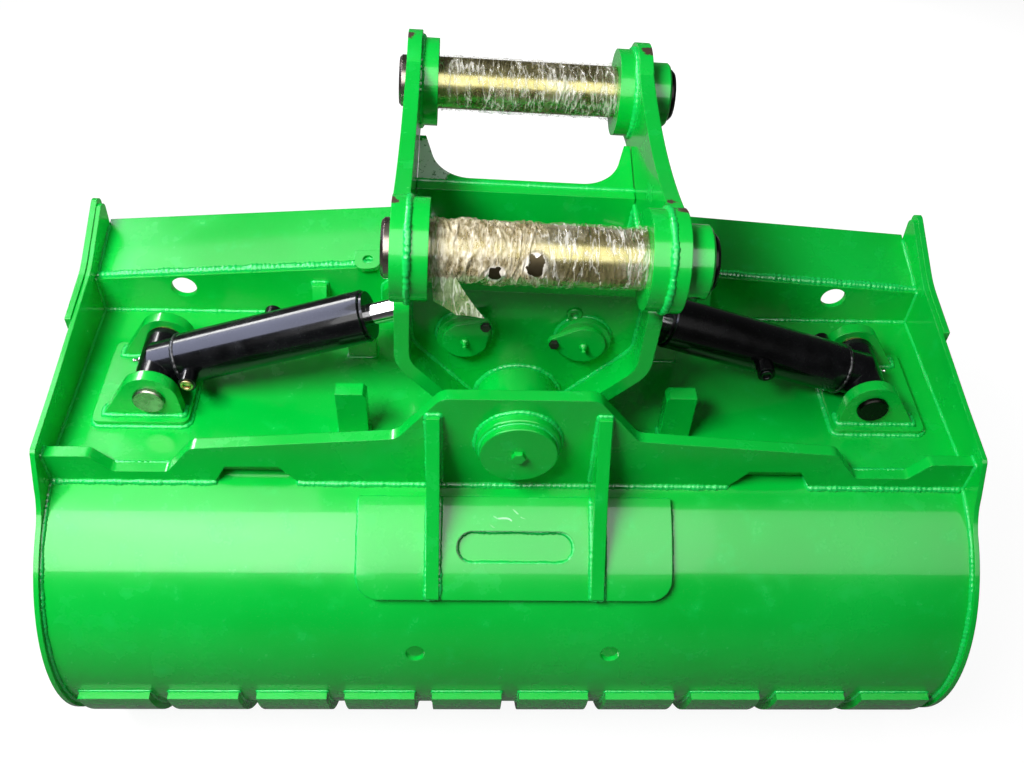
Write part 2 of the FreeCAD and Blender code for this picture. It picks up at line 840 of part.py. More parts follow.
def side_plate():
    foot = chamfer_foot()
    slope = math.radians(chamfer_angle)
    outward = V(math.sin(slope), 0, -math.cos(slope)) * side_plate_thickness
    half_turn = math.radians(90 - chamfer_angle) / 2
    knee_x = side_plate_inner + side_plate_thickness
    knee_z = bend_z - side_plate_thickness * math.tan(half_turn)
    outline = [
        (side_plate_inner, side_plate_top, 0, 0), (side_plate_inner, bend_z, bend_radius, 0),
        (foot.x, foot.z, 0, 0), (foot.x + outward.x, foot.z + outward.z, 0, 0),
        (knee_x, knee_z, bend_radius + side_plate_thickness, 0), (knee_x, side_plate_top, 0, 0)]
    plate = along(outline, head_start, head_end - head_start)
    plate = plate.cut(rod_y(0, 0, tube_diameter, head_start - 1, head_end + 1))
    plate = plate.cut(cylinder_window())
    rounded = [e for e in plate.Edges
               if abs(e.tangentAt(e.FirstParameter).x) > 0.9
               and abs(e.CenterOfMass.z - side_plate_top) < 0.01
               and abs(e.CenterOfMass.y - head_start) < 0.01]
    return plate.makeFillet(side_plate_round, rounded)


def cylinder_window():
    # the cylinder reaches into the head through this opening
    start = chamfer_foot().x
    opening = Part.makeBox(ear_outer + 1 - start, window_end - window_start, window_top - window_bottom,
                           V(start, window_start, window_bottom))
    return opening.makeFillet(window_corner, [e for e in opening.Edges
                                              if abs(e.tangentAt(e.FirstParameter).x) > 0.9])


def cheek_outline(top):
    foot = chamfer_foot()
    half = [(foot.x, foot.z, 0, 0), (side_plate_inner, bend_z, bend_radius, 0), (side_plate_inner, top, 0, 0)]
    return half + [(-a, b, r, s) for a, b, r, s in reversed(half)]


def cheek(y, top):
    plate = along(cheek_outline(top), y, cheek_thickness)
    plate = plate.cut(rod_y(0, 0, tube_diameter, y - 1, y + cheek_thickness + 1))
    for side in (-1, 1):
        plate = plate.cut(rod_y(side * rod_pin_x, rod_pin_z, rod_pin_diameter, y - 1, y + cheek_thickness + 1))
    return plate


def ear():
    y1, z1 = rear_hanger_y, rear_hanger_z
    y2, z2 = front_hanger_y, front_hanger_z
    r1, r2 = rear_lobe_radius, front_lobe_radius
    base = side_plate_top
    left = V(ear_inner, y1, z1)
    right = V(ear_inner, y2, z2)

    def on(centre, radius, degrees):
        angle = math.radians(degrees)
        return centre + V(0, radius * math.cos(angle), radius * math.sin(angle))

    neck = V(ear_inner, head_start + ear_neck, base)
    heel = V(ear_inner, head_end, base)
    top_left = on(left, r1, rear_lobe_top_angle)
    top_right = on(right, r2, front_lobe_top_angle)
    under_left = on(left, r1, rear_lobe_under_angle)
    under_right = on(right, r2, front_lobe_under_angle)
    dip = (top_left + top_right) * 0.5 - V(0, 0, ear_saddle)
    belly = (heel + under_right) * 0.5 + V(0, 0, ear_belly)
    edges = [
        Part.Arc(top_right, dip, top_left).toShape(),
        Part.Arc(top_left, on(left, r1, rear_lobe_far_angle), under_left).toShape(),
        Part.makeLine(under_left, neck),
        Part.makeLine(neck, heel),
        Part.Arc(heel, belly, under_right).toShape(),
        Part.Arc(under_right, on(right, r2, front_lobe_far_angle), top_right).toShape(),
    ]
    plate = Part.Face(Part.Wire(edges)).extrude(V(ear_thickness, 0, 0))
    for y, z in ((y1, z1), (y2, z2)):
        plate = plate.cut(rod_x(y, z, hanger_diameter, ear_inner - 1, ear_outer + 1))
    return plate.cut(cylinder_window())


def ear_bosses():
    rings = []
    for y, z in ((rear_hanger_y, rear_hanger_z), (front_hanger_y, front_hanger_z)):
        ring = rod_x(y, z, boss_diameter, pin_gap / 2, ear_inner)
        ring = ring.cut(rod_x(y, z, hanger_diameter, 0, ear_outer))
        rings += [ring, mirrored(ring)]
    return Part.makeCompound(rings)


def hanger_pin(y, z):
    start = -ear_outer - hanger_head
    end = ear_outer + collar_length + collar_pin_out
    pin = rod_x(y, z, hanger_diameter, start, end)
    pin = pin.makeChamfer(hanger_chamfer, [e for e in pin.Edges if e.Closed])
    return pin.cut(collar_bolt_hole(y, z))


def collar_bolt_frame(y, z):
    # the screw enters from below on the operator's side and points up and away
    angle = math.radians(collar_bolt_angle)
    inward = V(0, math.cos(angle), math.sin(angle))
    centre = V(ear_outer + collar_length / 2, y, z)
    return centre - inward * (collar_diameter / 2), inward


def collar_bolt_hole(y, z):
    mouth, inward = collar_bolt_frame(y, z)
    recess = Part.makeCylinder(collar_bolt_head / 2 + head_clearance, collar_recess + collar_bolt_head_height + 5,
                               mouth - inward * 5, inward)
    shank = Part.makeCylinder(collar_bolt_diameter / 2, collar_diameter - collar_recess, mouth, inward)
    return recess.fuse(shank)


def pin_collars():
    rings = []
    for y, z in ((rear_hanger_y, rear_hanger_z), (front_hanger_y, front_hanger_z)):
        ring = rod_x(y, z, collar_diameter, ear_outer, ear_outer + collar_length)
        ring = ring.makeChamfer(collar_chamfer, [e for e in ring.Edges
                                                 if e.Closed and e.CenterOfMass.x > ear_outer + 1])
        ring = ring.cut(rod_x(y, z, hanger_diameter, ear_outer - 1, ear_outer + collar_length + 1))
        rings.append(ring.cut(collar_bolt_hole(y, z)))
    return Part.makeCompound(rings)


def collar_bolts():
    bolts = []
    for y, z in ((rear_hanger_y, rear_hanger_z), (front_hanger_y, front_hanger_z)):
        mouth, inward = collar_bolt_frame(y, z)
        face = mouth + inward * collar_recess
        head = Part.makeCylinder(collar_bolt_head / 2, collar_bolt_head_height, face, inward)
        socket = hexagon(face - inward, inward, collar_bolt_socket, collar_bolt_head_height / 2 + 1)
        shank = Part.makeCylinder(collar_bolt_diameter / 2, collar_diameter - 2 * collar_recess, face, inward)
        bolts.append(head.cut(socket).fuse(shank.cut(
            Part.makeCylinder(collar_bolt_head / 2, collar_bolt_head_height, face, inward))).removeSplitter())
    return Part.makeCompound(bolts)


def cross_plate():
    # a flange that runs forward from the front cheek, cut out in the middle for the stick
    start = front_cheek_y + cheek_thickness
    top = front_cheek_top
    drop = cross_thickness / math.cos(math.atan2(cross_rise, cross_reach))
    outline = corners([
        (start, top), (start, top - drop), (start + cross_reach, top + cross_rise - drop),
        (start + cross_reach, top + cross_rise)])
    flange = across(outline, -side_plate_inner, 2 * side_plate_inner)
    near = start + cross_web
    far = start + cross_reach + cross_cut_flare
    wide = cross_cut_half + cross_cut_flare
    cut = curve_from([
        (-wide, far, 0, 0), (-cross_cut_half, near, cross_cut_corner, 0),
        (cross_cut_half, near, cross_cut_corner, 0), (wide, far, 0, 0)],
        lambda p: V(p.x, p.y, top - cross_reach)).extrude(V(0, 0, 2 * cross_reach))
    return flange.cut(cut)


def rod_pin_bosses():
    rings = []
    front = front_cheek_y + cheek_thickness
    for side in (-1, 1):
        x = side * rod_pin_x
        rings.append(ring_y(x, rod_pin_z, rod_boss_diameter, rod_pin_diameter,
                            rear_cheek_y - rod_boss_length, rear_cheek_y))
        rings.append(ring_y(x, rod_pin_z, rod_boss_diameter, rod_pin_diameter,
                            front, front + rod_boss_length))
    return Part.makeCompound(rings)


def rod_pin_ends():
    ends = []
    for side in (-1, 1):
        x = side * rod_pin_x
        ends.append(rod_y(x, rod_pin_z, rod_pin_diameter,
                          rear_cheek_y - rod_boss_length, rear_cheek_y + cheek_thickness))
        ends.append(rod_y(x, rod_pin_z, rod_pin_diameter,
                          front_cheek_y, front_cheek_y + cheek_thickness + rod_boss_length))
    return Part.makeCompound(ends)


def keeper_frame(side):
    angle = math.radians(keeper_tails[side])
    centre = V(side * rod_pin_x, rear_cheek_y - rod_boss_length, rod_pin_z)
    tail = centre + V(math.cos(angle), 0, math.sin(angle)) * keeper_tail_reach
    return centre, tail, angle


def keeper_plate(side):
    # a teardrop that covers the end of the rod pin and is bolted at its tail
    centre, tail, angle = keeper_frame(side)
    lean = math.acos((keeper_radius - keeper_tail_radius) / keeper_tail_reach)

    def on(middle, radius, turn):
        return middle + V(math.cos(angle + turn), 0, math.sin(angle + turn)) * radius

    edges = [
        Part.Arc(on(centre, keeper_radius, lean), on(centre, keeper_radius, math.pi),
                 on(centre, keeper_radius, -lean)).toShape(),
        Part.makeLine(on(centre, keeper_radius, -lean), on(tail, keeper_tail_radius, -lean)),
        Part.Arc(on(tail, keeper_tail_radius, -lean), on(tail, keeper_tail_radius, 0),
                 on(tail, keeper_tail_radius, lean)).toShape(),
        Part.makeLine(on(tail, keeper_tail_radius, lean), on(centre, keeper_radius, lean)),
    ]
    return Part.Face(Part.Wire(edges)).extrude(V(0, -keeper_thickness, 0))


def keeper_plates():
    return Part.makeCompound([keeper_plate(side) for side in keeper_tails])


def keeper_bolts():
    bolts = []
    for side in keeper_tails:
        tail = keeper_frame(side)[1]
        bolts.append(hexagon(tail - V(0, keeper_thickness, 0), V(0, -1, 0),
                             keeper_bolt_across, keeper_bolt_height))
    return Part.makeCompound(bolts)


# Tilt cylinders, drawn along X from the base pin and turned into place

def rod_pin_place(side):
    angle = math.radians(rest_tilt)
    x, z = side * rod_pin_x, rod_pin_z
    return V(x * math.cos(angle) + z * math.sin(angle), 0, -x * math.sin(angle) + z * math.cos(angle))


def cylinder_axis(side):
    base = V(side * lug_pin_x, cylinder_y, lug_pin_z)
    pin = rod_pin_place(side)
    run = V(pin.x - base.x, 0, pin.z - base.z)
    return base, run


def seat(side, shape):
    base, run = cylinder_axis(side)
    turned = shape.copy()
    turned.rotate(V(0, 0, 0), V(0, 1, 0), -math.degrees(math.atan2(run.z, run.x)))
    turned.translate(base)
    return turned


def bar(diameter, start, end):
    return Part.makeCylinder(diameter / 2, end - start, V(start, 0, 0), V(1, 0, 0))


def eye_half():
    return lug_spacing / 2 - lug_thickness - side_gap - bronze_flange


def base_eye():
    half = eye_half()
    tube = ring_y(0, 0, base_eye_diameter, base_pin_diameter + 2 * bronze_wall, -half, half)
    neck = bar(base_plug_diameter, 0, barrel_start).cut(rod_y(0, 0, base_eye_diameter, -half, half))
    return tube.fuse(neck).removeSplitter()


def eye_bushes():
    half = eye_half()
    inner = base_pin_diameter + 2 * running_clearance
    outer = base_pin_diameter + 2 * bronze_wall
    rings = []
    for side in (-1, 1):
        near, face, far = sorted((side * bush_gap / 2, side * half, side * (half + bronze_flange)))
        sleeve_end = near if side > 0 else far
        sleeve = ring_y(0, 0, outer, inner, min(face, sleeve_end), max(face, sleeve_end))
        flange_end = far if side > 0 else near
        flange = ring_y(0, 0, base_eye_diameter - 2 * flange_step, inner,
                        min(face, flange_end), max(face, flange_end))
        rings.append(sleeve.fuse(flange).removeSplitter())
    return Part.makeCompound(rings)


def barrel():
    tube = bar(barrel_diameter, barrel_start, barrel_end).cut(
        bar(barrel_bore, barrel_start + base_plug_length, barrel_end + 1))
    tube = tube.makeChamfer(barrel_chamfer, [e for e in tube.Edges if e.Closed
                                and abs(e.BoundBox.YLength - barrel_diameter) < 0.5])
    return tube


def gland():
    start = barrel_end - gland_length
    body = bar(barrel_bore, start, barrel_end)
    flange = bar(barrel_diameter - 2 * gland_step, barrel_end, barrel_end + gland_flange)
    bore = bar(rod_diameter + 2 * running_clearance, start - 1, barrel_end + gland_flange + 1)
    return body.fuse(flange).cut(bore).removeSplitter()


def port(position, direction):
    surface = barrel_diameter / 2
    inner = surface - port_sink
    stub = Part.makeCylinder(port_diameter / 2, port_out + surface - inner,
                             V(position, direction * inner, 0), V(0, direction, 0))
    tip = surface + port_out
    bore = Part.makeCylinder(port_bore / 2, port_depth + 1, V(position, direction * (tip + 1), 0),
                             V(0, -direction, 0))
    return stub.cut(bar(barrel_diameter, 0, barrel_end)).cut(bore)


def ports(side):
    # the same cylinder is fitted turned over, so its ports change sides
    return Part.makeCompound([port(base_port_at, side), port(rod_port_at, -side)])


def reach_at_rest(side):
    return cylinder_axis(side)[1].Length


def rod(side):
    tip = reach_at_rest(side) - rod_eye_diameter / 2 + rod_weld
    start = reach_at_rest(side) - rod_reach + piston_length
    return bar(rod_diameter, start, tip)


def piston(side):
    start = reach_at_rest(side) - rod_reach
    return bar(barrel_bore - 2 * running_clearance, start, start + piston_length)


def rod_eye(side):
    centre = reach_at_rest(side)
    half = rod_eye_width / 2
    eye = rod_y(centre, 0, rod_eye_diameter, -half, half)
    eye = eye.makeChamfer(rod_eye_chamfer, [e for e in eye.Edges if e.Closed])
    neck = bar(rod_diameter + 2 * rod_neck_wall, centre - rod_eye_diameter / 2 - rod_neck_length, centre)
    bore = rod_y(centre, 0, rod_pin_diameter, -half - 1, half + 1)
    return eye.fuse(neck).cut(bore).cut(rod(side)).removeSplitter()


def rod_pin(side):
    start = rear_cheek_y + cheek_thickness + rod_pin_gap - cylinder_y
    end = front_cheek_y - rod_pin_gap - cylinder_y
    return rod_y(reach_at_rest(side), 0, rod_pin_diameter, start, end)


os.makedirs("parts", exist_ok=True)

write("shell", shell())
write("bed_plate", bed_plate())
write("rear_pivot_plate", rear_pivot_plate())
write("front_wall", front_wall())
write("front_lip_panel", lip_panel())
write("end_plate_right", end_plate())
write("end_plate_left", mirrored(end_plate()))
write("side_cutters", Part.makeCompound([side_cutter(), mirrored(side_cutter())]))
write("cutting_edge", cutting_edge())
write("heel_strips", heel_strips())
write("shell_doubler", shell_doubler())
write("rear_ribs", rear_ribs())
write("front_pivot_plate", front_pivot_plate())
write("rear_pivot_boss", pivot_boss())
write("pivot_pin", pivot_pin())
write("pivot_cap", pivot_cap())
write("grease_bolt", grease_bolt())
write("thrust_washers", thrust_washers())
write("stop_blocks", stop_blocks())
write("lug_pads", lug_pads())
write("cylinder_lugs", cylinder_lugs())
write("base_pins", Part.makeCompound([base_pin(-1), base_pin(1)]))
write("lifting_tab", lifting_tab())
write("wall_ribs", wall_ribs())

write_head("pivot_tube", pivot_tube())
write_head("pivot_bushes", pivot_bushes())
write_head("head_rear_cheek", cheek(rear_cheek_y, rear_cheek_top))
write_head("head_front_cheek", cheek(front_cheek_y, front_cheek_top))
write_head("head_side_right", side_plate())
write_head("head_side_left", mirrored(side_plate()))
write_head("ear_right", ear())
write_head("ear_left", mirrored(ear()))
write_head("ear_bosses", ear_bosses())
write_head("hanger_pin_rear", hanger_pin(rear_hanger_y, rear_hanger_z))
write_head("hanger_pin_front", hanger_pin(front_hanger_y, front_hanger_z))
write_head("pin_collars", pin_collars())
write_head("collar_bolts", collar_bolts())
write_head("cross_plate", cross_plate())
write_head("rod_pin_bosses", rod_pin_bosses())
write_head("rod_pin_ends", rod_pin_ends())
write_head("keeper_plates", keeper_plates())
write_head("keeper_bolts", keeper_bolts())

for name, side in (("left", -1), ("right", 1)):
    write("base_eye_" + name, seat(side, base_eye()))
    write("eye_bushes_" + name, seat(side, eye_bushes()))
    write("barrel_" + name, seat(side, barrel()))
    write("gland_" + name, seat(side, gland()))
    write("ports_" + name, seat(side, ports(side)))
    write("rod_" + name, seat(side, rod(side)))
    write("piston_" + name, seat(side, piston(side)))
    write("rod_eye_" + name, seat(side, rod_eye(side)))
    write("rod_pin_" + name, seat(side, rod_pin(side)))
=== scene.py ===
import json
import math
import random

import bmesh
import bpy
from mathutils import Matrix, Vector, noise
from mathutils.bvhtree import BVHTree


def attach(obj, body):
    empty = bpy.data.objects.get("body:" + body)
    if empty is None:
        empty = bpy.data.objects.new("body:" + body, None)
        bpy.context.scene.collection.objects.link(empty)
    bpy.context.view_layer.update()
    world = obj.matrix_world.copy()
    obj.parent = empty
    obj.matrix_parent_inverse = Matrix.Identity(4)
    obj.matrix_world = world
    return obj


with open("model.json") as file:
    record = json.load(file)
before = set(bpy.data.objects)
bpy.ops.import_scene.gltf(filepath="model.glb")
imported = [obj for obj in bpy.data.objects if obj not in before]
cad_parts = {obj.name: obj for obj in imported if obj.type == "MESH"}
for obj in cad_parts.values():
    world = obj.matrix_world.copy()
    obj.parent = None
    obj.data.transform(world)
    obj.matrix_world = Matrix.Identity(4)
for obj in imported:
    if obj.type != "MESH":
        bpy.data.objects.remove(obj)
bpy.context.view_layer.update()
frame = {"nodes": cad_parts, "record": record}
nodes = frame["nodes"]
print("frame loaded:", len(nodes), "solids")

# the pivot axis of the head, and the head's tilt at rest
pivotPlace = Vector((0.0, -0.18656, 0.655))
restTilt = math.radians(2.0)
headTurn = Matrix.Rotation(restTilt, 4, "Y")

# axes of the two hanger pins in the head, as (y, z), and the pins' radius
hangerPlace = {"rear": (0.039, 0.334), "front": (0.478, 0.317), "radius": 0.040}


def onBucket(x, y, z):
    return pivotPlace + Vector((x, y, z))


def onHead(x, y, z):
    return pivotPlace + headTurn @ Vector((x, y, z))


class Value:
    # a socket that can be reckoned with: each operation adds its Math node
    def __init__(self, shader, link):
        self.shader = shader
        self.link = link

    def math(self, operation, *others, clamp=False):
        links = [self.link] + [o.link if isinstance(o, Value) else o for o in others]
        return self.shader.node("ShaderNodeMath", {"operation": operation, "use_clamp": clamp},
                                dict(enumerate(links)))

    def __add__(self, other):
        return self.math("ADD", other)

    def __radd__(self, other):
        return self.math("ADD", other)

    def __sub__(self, other):
        return self.math("SUBTRACT", other)

    def __rsub__(self, other):
        return (self * -1).math("ADD", other)

    def __mul__(self, other):
        return self.math("MULTIPLY", other)

    def __rmul__(self, other):
        return self.math("MULTIPLY", other)

    def clamp(self):
        return self.math("ADD", 0.0, clamp=True)

    def spread(self, low, high, toLow=0.0, toHigh=1.0):
        return self.shader.node("ShaderNodeMapRange", {"clamp": True},
                                {"Value": self, "From Min": low, "From Max": high,
                                 "To Min": toLow, "To Max": toHigh})


class Shader:
    # the nodes of one material, or of the world
    def __init__(self, name, world=False):
        self.block = bpy.data.worlds.new(name) if world else bpy.data.materials.new(name)
        self.block.use_nodes = True
        self.tree = self.block.node_tree
        self.tree.nodes.clear()
        self.out = self.tree.nodes.new("ShaderNodeOutputWorld" if world else "ShaderNodeOutputMaterial")

    def node(self, kind, settings=None, sockets=None, output=0):
        made = self.tree.nodes.new(kind)
        for key, value in (settings or {}).items():
            setattr(made, key, value)
        for key, value in (sockets or {}).items():
            self.feed(made.inputs[key], value)
        return Value(self, made.outputs[output])

    def feed(self, socket, value):
        if isinstance(value, Value):
            value = value.link
        if isinstance(value, bpy.types.NodeSocket):
            self.tree.links.new(value, socket)
        elif socket.type == "RGBA" and len(value) == 3:
            socket.default_value = (*value, 1.0)
        else:
            socket.default_value = value

    def place(self):
        return self.node("ShaderNodeTexCoord", output="Object")

    def noise(self, scale, detail=2.0, roughness=0.5, place=None):
        return self.node("ShaderNodeTexNoise", {},
                         {"Vector": place or self.place(), "Scale": scale, "Detail": detail,
                          "Roughness": roughness})

    def mix(self, factor, first, second):
        # a Mix node's colour inputs are numbers 6 and 7, and its colour output is number 2
        return self.node("ShaderNodeMix", {"data_type": "RGBA"}, {0: factor, 6: first, 7: second}, output=2)

    def distance(self, place, centre):
        return self.node("ShaderNodeVectorMath", {"operation": "DISTANCE"}, {0: place, 1: tuple(centre)},
                         output="Value")

    def alongX(self, place):
        return self.node("ShaderNodeSeparateXYZ", {}, {"Vector": place}, output="X")

    def rounded(self, radius):
        return self.node("ShaderNodeBevel", {"samples": 4}, {"Radius": radius})

    def bump(self, height, strength, distance, normal=None):
        sockets = {"Height": height, "Strength": strength, "Distance": distance}
        if normal is not None:
            sockets["Normal"] = normal
        return self.node("ShaderNodeBump", {}, sockets)

    def finish(self, sockets):
        return self.show(self.node("ShaderNodeBsdfPrincipled", {}, sockets, output="BSDF"))

    def show(self, surface):
        self.tree.links.new(surface.link, self.out.inputs["Surface"])
        return self.block


# finishes

paintLook = {
    "colour": (0.0, 0.52, 0.047),
    "deep": (0.0, 0.44, 0.033),
    "pale": (0.004, 0.58, 0.085),
    "roughness": (0.16, 0.30),
    # weld is a paler green for the beads, a painted highlight that makes them read as lighter lines
    "speck": (0.30, 0.82, 0.38),
    "weld": (0.012, 0.66, 0.14),
    "peelScale": 420.0,
    "cornerRadius": 0.0022,
    "coat": 0.45,
}
chipLook = {
    "colour": (0.055, 0.030, 0.018),
    "places": [
        (onHead(0.190, 0.066, 0.400), 0.013), (onHead(0.176, 0.100, 0.385), 0.006),
        (onHead(0.187, 0.474, 0.396), 0.012), (onHead(-0.189, 0.480, 0.396), 0.010),
        (onHead(-0.190, 0.052, 0.404), 0.009), (onHead(0.191, 0.118, 0.372), 0.007),
        (onHead(-0.191, 0.190, 0.352), 0.005), (onHead(0.191, 0.412, 0.360), 0.005),
    ],
}
scratchLook = {
    "place": onBucket(-0.012, -0.068, -0.115),
    "reach": 0.030,
    "colour": (0.45, 0.80, 0.52),
}
# a painted reflection of the pale surroundings on the left gusset of the cross plate: a pale patch with
# darker streaks through it
paintedReflectionLook = {
    "colour": (0.88, 0.93, 0.92), "darkStreak": (0.02, 0.16, 0.04),
    "places": [(onHead(-0.151, 0.366, 0.262), 0.030), (onHead(-0.148, 0.326, 0.256), 0.030)],
}


def spots(s, place, ragged, places, core):
    # a mask round each place, full out to a share of its radius, with a ragged edge
    mask = None
    for centre, radius in places:
        near = (s.distance(place, centre) + ragged).spread(radius * core, radius, 1.0, 0.0)
        mask = near if mask is None else mask.math("MAXIMUM", near)
    return mask


def greenPaint(name, chips=False, scratches=False, worn=False, beadRipple=False):
    s = Shader(name)
    place = s.place()
    broad = s.noise(3.2, 3.0, 0.55, place)
    cloud = s.noise(26.0, 4.0, 0.6, place)
    peel = s.noise(paintLook["peelScale"], 2.0, 0.5, place)
    dust = s.noise(1300.0, 1.0, 0.5, place)
    colour = s.mix(broad.spread(0.35, 0.68), paintLook["deep"], paintLook["colour"])
    colour = s.mix(cloud.spread(0.56, 0.78, 0.0, 0.5), colour, paintLook["pale"])
    specks = dust.spread(0.735, 0.77)
    colour = s.mix(specks * 0.45, colour, paintLook["speck"])
    rough = broad.spread(0.3, 0.7, *paintLook["roughness"]) + cloud.spread(0.5, 0.8, 0.0, 0.10)
    height = peel * 0.35 + cloud * 0.65 + specks * 0.5
    if scratches:
        reach = scratchLook["reach"]
        inside = s.distance(place, scratchLook["place"]).spread(reach * 0.55, reach, 1.0, 0.0)
        lines = s.node("ShaderNodeTexWave", {"wave_type": "BANDS", "bands_direction": "DIAGONAL"},
                       {"Vector": place, "Scale": 22.0, "Distortion": 5.0, "Detail": 1.0,
                        "Detail Scale": 1.2}, output=1)
        broken = s.noise(70.0, 2.0, 0.5, place).spread(0.44, 0.50)
        mark = lines.spread(0.93, 0.98) * inside * broken
        colour = s.mix(mark * 0.75, colour, scratchLook["colour"])
        rough = rough + mark * 0.25
    # painted reflection: a pale patch round the listed places on the cross plate's left gusset, streaked
    # darker
    if worn:
        ragged = s.noise(90.0, 4.0, 0.65, place) * 0.03 - 0.015
        bare = spots(s, place, ragged, paintedReflectionLook["places"], 0.8)
        reflectionStreaks = s.noise(110.0, 3.0, 0.7, place).spread(0.60, 0.66)
        colour = s.mix(bare * 0.95, colour, paintedReflectionLook["colour"])
        colour = s.mix(bare * reflectionStreaks * 0.8, colour, paintedReflectionLook["darkStreak"])
    if chips:
        grain = s.noise(150.0, 3.0, 0.6, place) * 0.022 - 0.011
        chipped = spots(s, place, grain, chipLook["places"], 0.85)
        colour = s.mix(chipped, colour, chipLook["colour"])
        rough = rough + chipped * 0.35
        height = height - chipped * 1.2
    if beadRipple:
        ripple = s.noise(210.0, 2.0, 0.6, place)
        height = height + ripple * 2.2
        # painted highlight: the bead colour is mixed half-way to the paler weld green
        colour = s.mix(0.5, colour, paintLook["weld"])
        rough = rough * 0.45
    edge = s.rounded(paintLook["cornerRadius"])
    normal = s.bump(height, 0.22 if not beadRipple else 0.5, 0.0009, None if beadRipple else edge)
    return s.finish({"Base Color": colour, "Roughness": rough.clamp(), "Coat Weight": paintLook["coat"],
                     "Coat Roughness": 0.06, "Specular IOR Level": 0.30, "Normal": normal})


blackLook = {
    "deep": (0.0016, 0.0018, 0.0022), "worn": (0.0045, 0.0048, 0.0060), "dust": (0.12, 0.13, 0.12),
    "weld": (0.004, 0.004, 0.005), "fleck": (0.09, 0.09, 0.095),
}


def blackPaint(name):
    s = Shader(name)
    place = s.place()
    cloud = s.noise(30.0, 3.0, 0.55, place)
    peel = s.noise(520.0, 2.0, 0.5, place)
    dust = s.noise(900.0, 1.0, 0.5, place).spread(0.70, 0.76)
    colour = s.mix(cloud.spread(0.4, 0.7), blackLook["deep"], blackLook["worn"])
    colour = s.mix(dust * 0.35, colour, blackLook["dust"])
    edge = s.rounded(0.0015)
    return s.finish({"Base Color": colour, "Roughness": cloud.spread(0.3, 0.7, 0.16, 0.30),
                     "Coat Weight": 0.26, "Coat Roughness": 0.04, "Specular IOR Level": 0.16,
                     "Normal": s.bump(peel * 0.5 + cloud * 0.5 + dust, 0.14, 0.0007, edge)})


def blackWeld(name):
    # black paint over a rough bead, with small pale flecks
    s = Shader(name)
    place = s.place()
    fleck = s.noise(230.0, 4.0, 0.7, place)
    colour = s.mix(fleck.spread(0.56, 0.66), blackLook["weld"], blackLook["fleck"])
    return s.finish({"Base Color": colour, "Roughness": 0.34, "Coat Weight": 0.25, "Coat Roughness": 0.12,
                     "Normal": s.bump(fleck, 0.6, 0.0015)})


metalLook = {
    # dark and light colour, lowest and highest roughness, and how fine the grain is
    "polished chrome": ((0.62, 0.62, 0.63), (0.78, 0.78, 0.79), (0.05, 0.12), 700.0),
    "turned steel": ((0.20, 0.19, 0.17), (0.42, 0.40, 0.37), (0.20, 0.36), 420.0),
    "blackened steel": ((0.030, 0.028, 0.026), (0.070, 0.065, 0.058), (0.25, 0.42), 380.0),
    "bronze": ((0.38, 0.19, 0.10), (0.58, 0.33, 0.18), (0.22, 0.34), 300.0),
    "brass ring": ((0.45, 0.29, 0.10), (0.72, 0.55, 0.28), (0.16, 0.3), 500.0),
    "zinc plate": ((0.45, 0.45, 0.43), (0.74, 0.74, 0.72), (0.18, 0.32), 500.0),
}


def metalFinish(name, metallic=1.0, strength=0.12):
    dark, light, roughness, grainScale = metalLook[name]
    s = Shader(name)
    place = s.place()
    cloud = s.noise(34.0, 4.0, 0.6, place)
    grain = s.noise(grainScale, 3.0, 0.6, place)
    colour = s.mix(cloud.spread(0.35, 0.7), dark, light)
    colour = s.mix(grain.spread(0.45, 0.75, 0.0, 0.35), colour, tuple(c * 0.6 for c in dark))
    edge = s.rounded(0.0012)
    return s.finish({"Base Color": colour, "Metallic": metallic,
                     "Roughness": cloud.spread(0.3, 0.75, *roughness) + grain * 0.05,
                     "Normal": s.bump(grain + cloud * 0.5, strength, 0.0005, edge)})


tearLook = [
    # tears in the rear pin's film: place along it, turn round it, size, and reach of the pale rim
    {"x": -0.056, "turn": 3.16, "size": 0.0095, "rim": 0.0135},
    {"x": -0.005, "turn": 2.80, "size": 0.0130, "rim": 0.0155},
]


def tearCentre(tear):
    y, z = hangerPlace["rear"]
    reach = hangerPlace["radius"] + 0.001
    return onHead(tear["x"], y + reach * math.cos(tear["turn"]), z + reach * math.sin(tear["turn"]))


filmLook = {
    # tint, colour of its folds (partly the film's own whitening, partly a painted highlight along the
    # creases), and how much of it is opaque where it lies flat
    "film on rear pin": ((0.52, 0.45, 0.22), (0.97, 0.95, 0.86), 0.12),
    "film on front pin": ((0.42, 0.38, 0.18), (0.90, 0.88, 0.78), 0.05),
    "loose film": ((0.42, 0.58, 0.22), (0.84, 0.92, 0.70), 0.46),
    "shredDark": (0.50, 0.37, 0.15), "shredPale": (0.96, 0.86, 0.62), "rim": (0.90, 0.85, 0.76),
}


